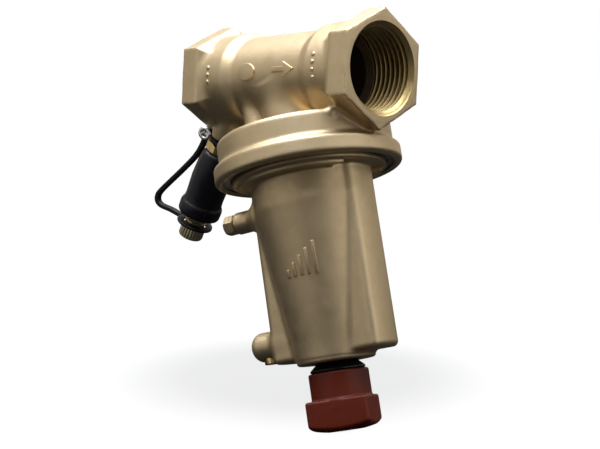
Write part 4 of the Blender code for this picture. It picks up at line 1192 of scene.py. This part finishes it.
def build_stage():
    settings = bpy.context.scene.controller_stage
    middle = Vector((-0.005, 0, -0.055))
    stage_world(settings)
    floor = stage_floor(settings)
    top = area_light("top_softbox", middle + UP * 0.55 + BACK * 0.05, middle, (0.9, 0.7),
                     settings.top_light, (0.92, 0.98, 1.12))
    left = area_light("left_softbox", middle - RIGHT * 0.55 + BACK * 0.25 + UP * 0.1, middle,
                      (0.7, 1.0), settings.side_light)
    right = area_light("right_softbox", middle + RIGHT * 0.5 + BACK * 0.30 + UP * 0.1, middle,
                       (0.7, 1.0), settings.side_light * 1.4)
    view = bpy.data.cameras.new("view")
    view.lens = 65.24
    view.sensor_width = 36.0
    view.clip_start = 0.01
    camera = bpy.data.objects.new("view", view)
    bpy.context.scene.collection.objects.link(camera)
    turn = Matrix((RIGHT, UP, BACK)).transposed().to_4x4()
    camera.matrix_world = Matrix.Translation(CAMERA_PLACE) @ turn
    bpy.context.scene.camera = camera
    bpy.context.scene.view_settings.view_transform = "Standard"
    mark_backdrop(floor, top, left, right, camera)


# ---------------------------------------------------------------- operators and panel

class OBJECT_OT_controller_body(bpy.types.Operator):
    """Build the body casting with its threads, seat wall and marks"""
    bl_idname = "object.controller_body"
    bl_label = "Body casting"

    def execute(self, context):
        body_casting()
        return {"FINISHED"}


class OBJECT_OT_controller_bonnet(bpy.types.Operator):
    """Build the spring bonnet and its retaining ring"""
    bl_idname = "object.controller_bonnet"
    bl_label = "Bonnet and retaining ring"

    def execute(self, context):
        bonnet_casting()
        snap_ring()
        return {"FINISHED"}


class OBJECT_OT_controller_handwheel(bpy.types.Operator):
    """Build the handwheel, its hollow spindle, washer and clip"""
    bl_idname = "object.controller_handwheel"
    bl_label = "Handwheel and spindle"

    def execute(self, context):
        handwheel()
        spindle_pieces()
        return {"FINISHED"}


class OBJECT_OT_controller_ports(bpy.types.Operator):
    """Build the vent plug, the capillary plug and their gaskets"""
    bl_idname = "object.controller_ports"
    bl_label = "Vent and capillary plugs"

    def execute(self, context):
        port_pieces()
        return {"FINISHED"}


class OBJECT_OT_controller_nipple(bpy.types.Operator):
    """Build the measuring nipple, its cap, strap and eyelet"""
    bl_idname = "object.controller_nipple"
    bl_label = "Measuring nipple"

    def execute(self, context):
        nipple_pieces()
        cap_pieces()
        strap_pieces()
        return {"FINISHED"}


class OBJECT_OT_controller_inner(bpy.types.Operator):
    """Build the spring and the diaphragm, and give the other inner pieces their finishes"""
    bl_idname = "object.controller_inner"
    bl_label = "Inner pieces"

    def execute(self, context):
        main_spring()
        diaphragm()
        inner_finishes()
        return {"FINISHED"}


class OBJECT_OT_controller_stage(bpy.types.Operator):
    """Set up the floor, the softboxes and the camera"""
    bl_idname = "object.controller_stage"
    bl_label = "Stage"

    def execute(self, context):
        build_stage()
        return {"FINISHED"}


BUILDERS = (OBJECT_OT_controller_body, OBJECT_OT_controller_bonnet, OBJECT_OT_controller_handwheel,
            OBJECT_OT_controller_ports, OBJECT_OT_controller_nipple, OBJECT_OT_controller_inner,
            OBJECT_OT_controller_stage)


class VIEW3D_PT_controller(bpy.types.Panel):
    bl_label = "Pressure controller"
    bl_idname = "VIEW3D_PT_controller"
    bl_space_type = "VIEW_3D"
    bl_region_type = "UI"
    bl_category = "Controller"

    def draw(self, context):
        for settings in (context.scene.controller_sizes, context.scene.controller_colours,
                         context.scene.controller_stage):
            for name in settings.__annotations__:
                self.layout.prop(settings, name)
        for builder in BUILDERS:
            self.layout.operator(builder.bl_idname)


CLASSES = (ControllerSizes, ControllerColours, ControllerStage, *BUILDERS, VIEW3D_PT_controller)


def register():
    for item in CLASSES:
        bpy.utils.register_class(item)
    bpy.types.Scene.controller_sizes = bpy.props.PointerProperty(type=ControllerSizes)
    bpy.types.Scene.controller_colours = bpy.props.PointerProperty(type=ControllerColours)
    bpy.types.Scene.controller_stage = bpy.props.PointerProperty(type=ControllerStage)


def unregister():
    del bpy.types.Scene.controller_stage
    del bpy.types.Scene.controller_colours
    del bpy.types.Scene.controller_sizes
    for item in reversed(CLASSES):
        bpy.utils.unregister_class(item)


def main():
    register()
    for builder in BUILDERS:
        group, name = builder.bl_idname.split(".")
        getattr(getattr(bpy.ops, group), name)()


if __name__ == "__main__":
    main()
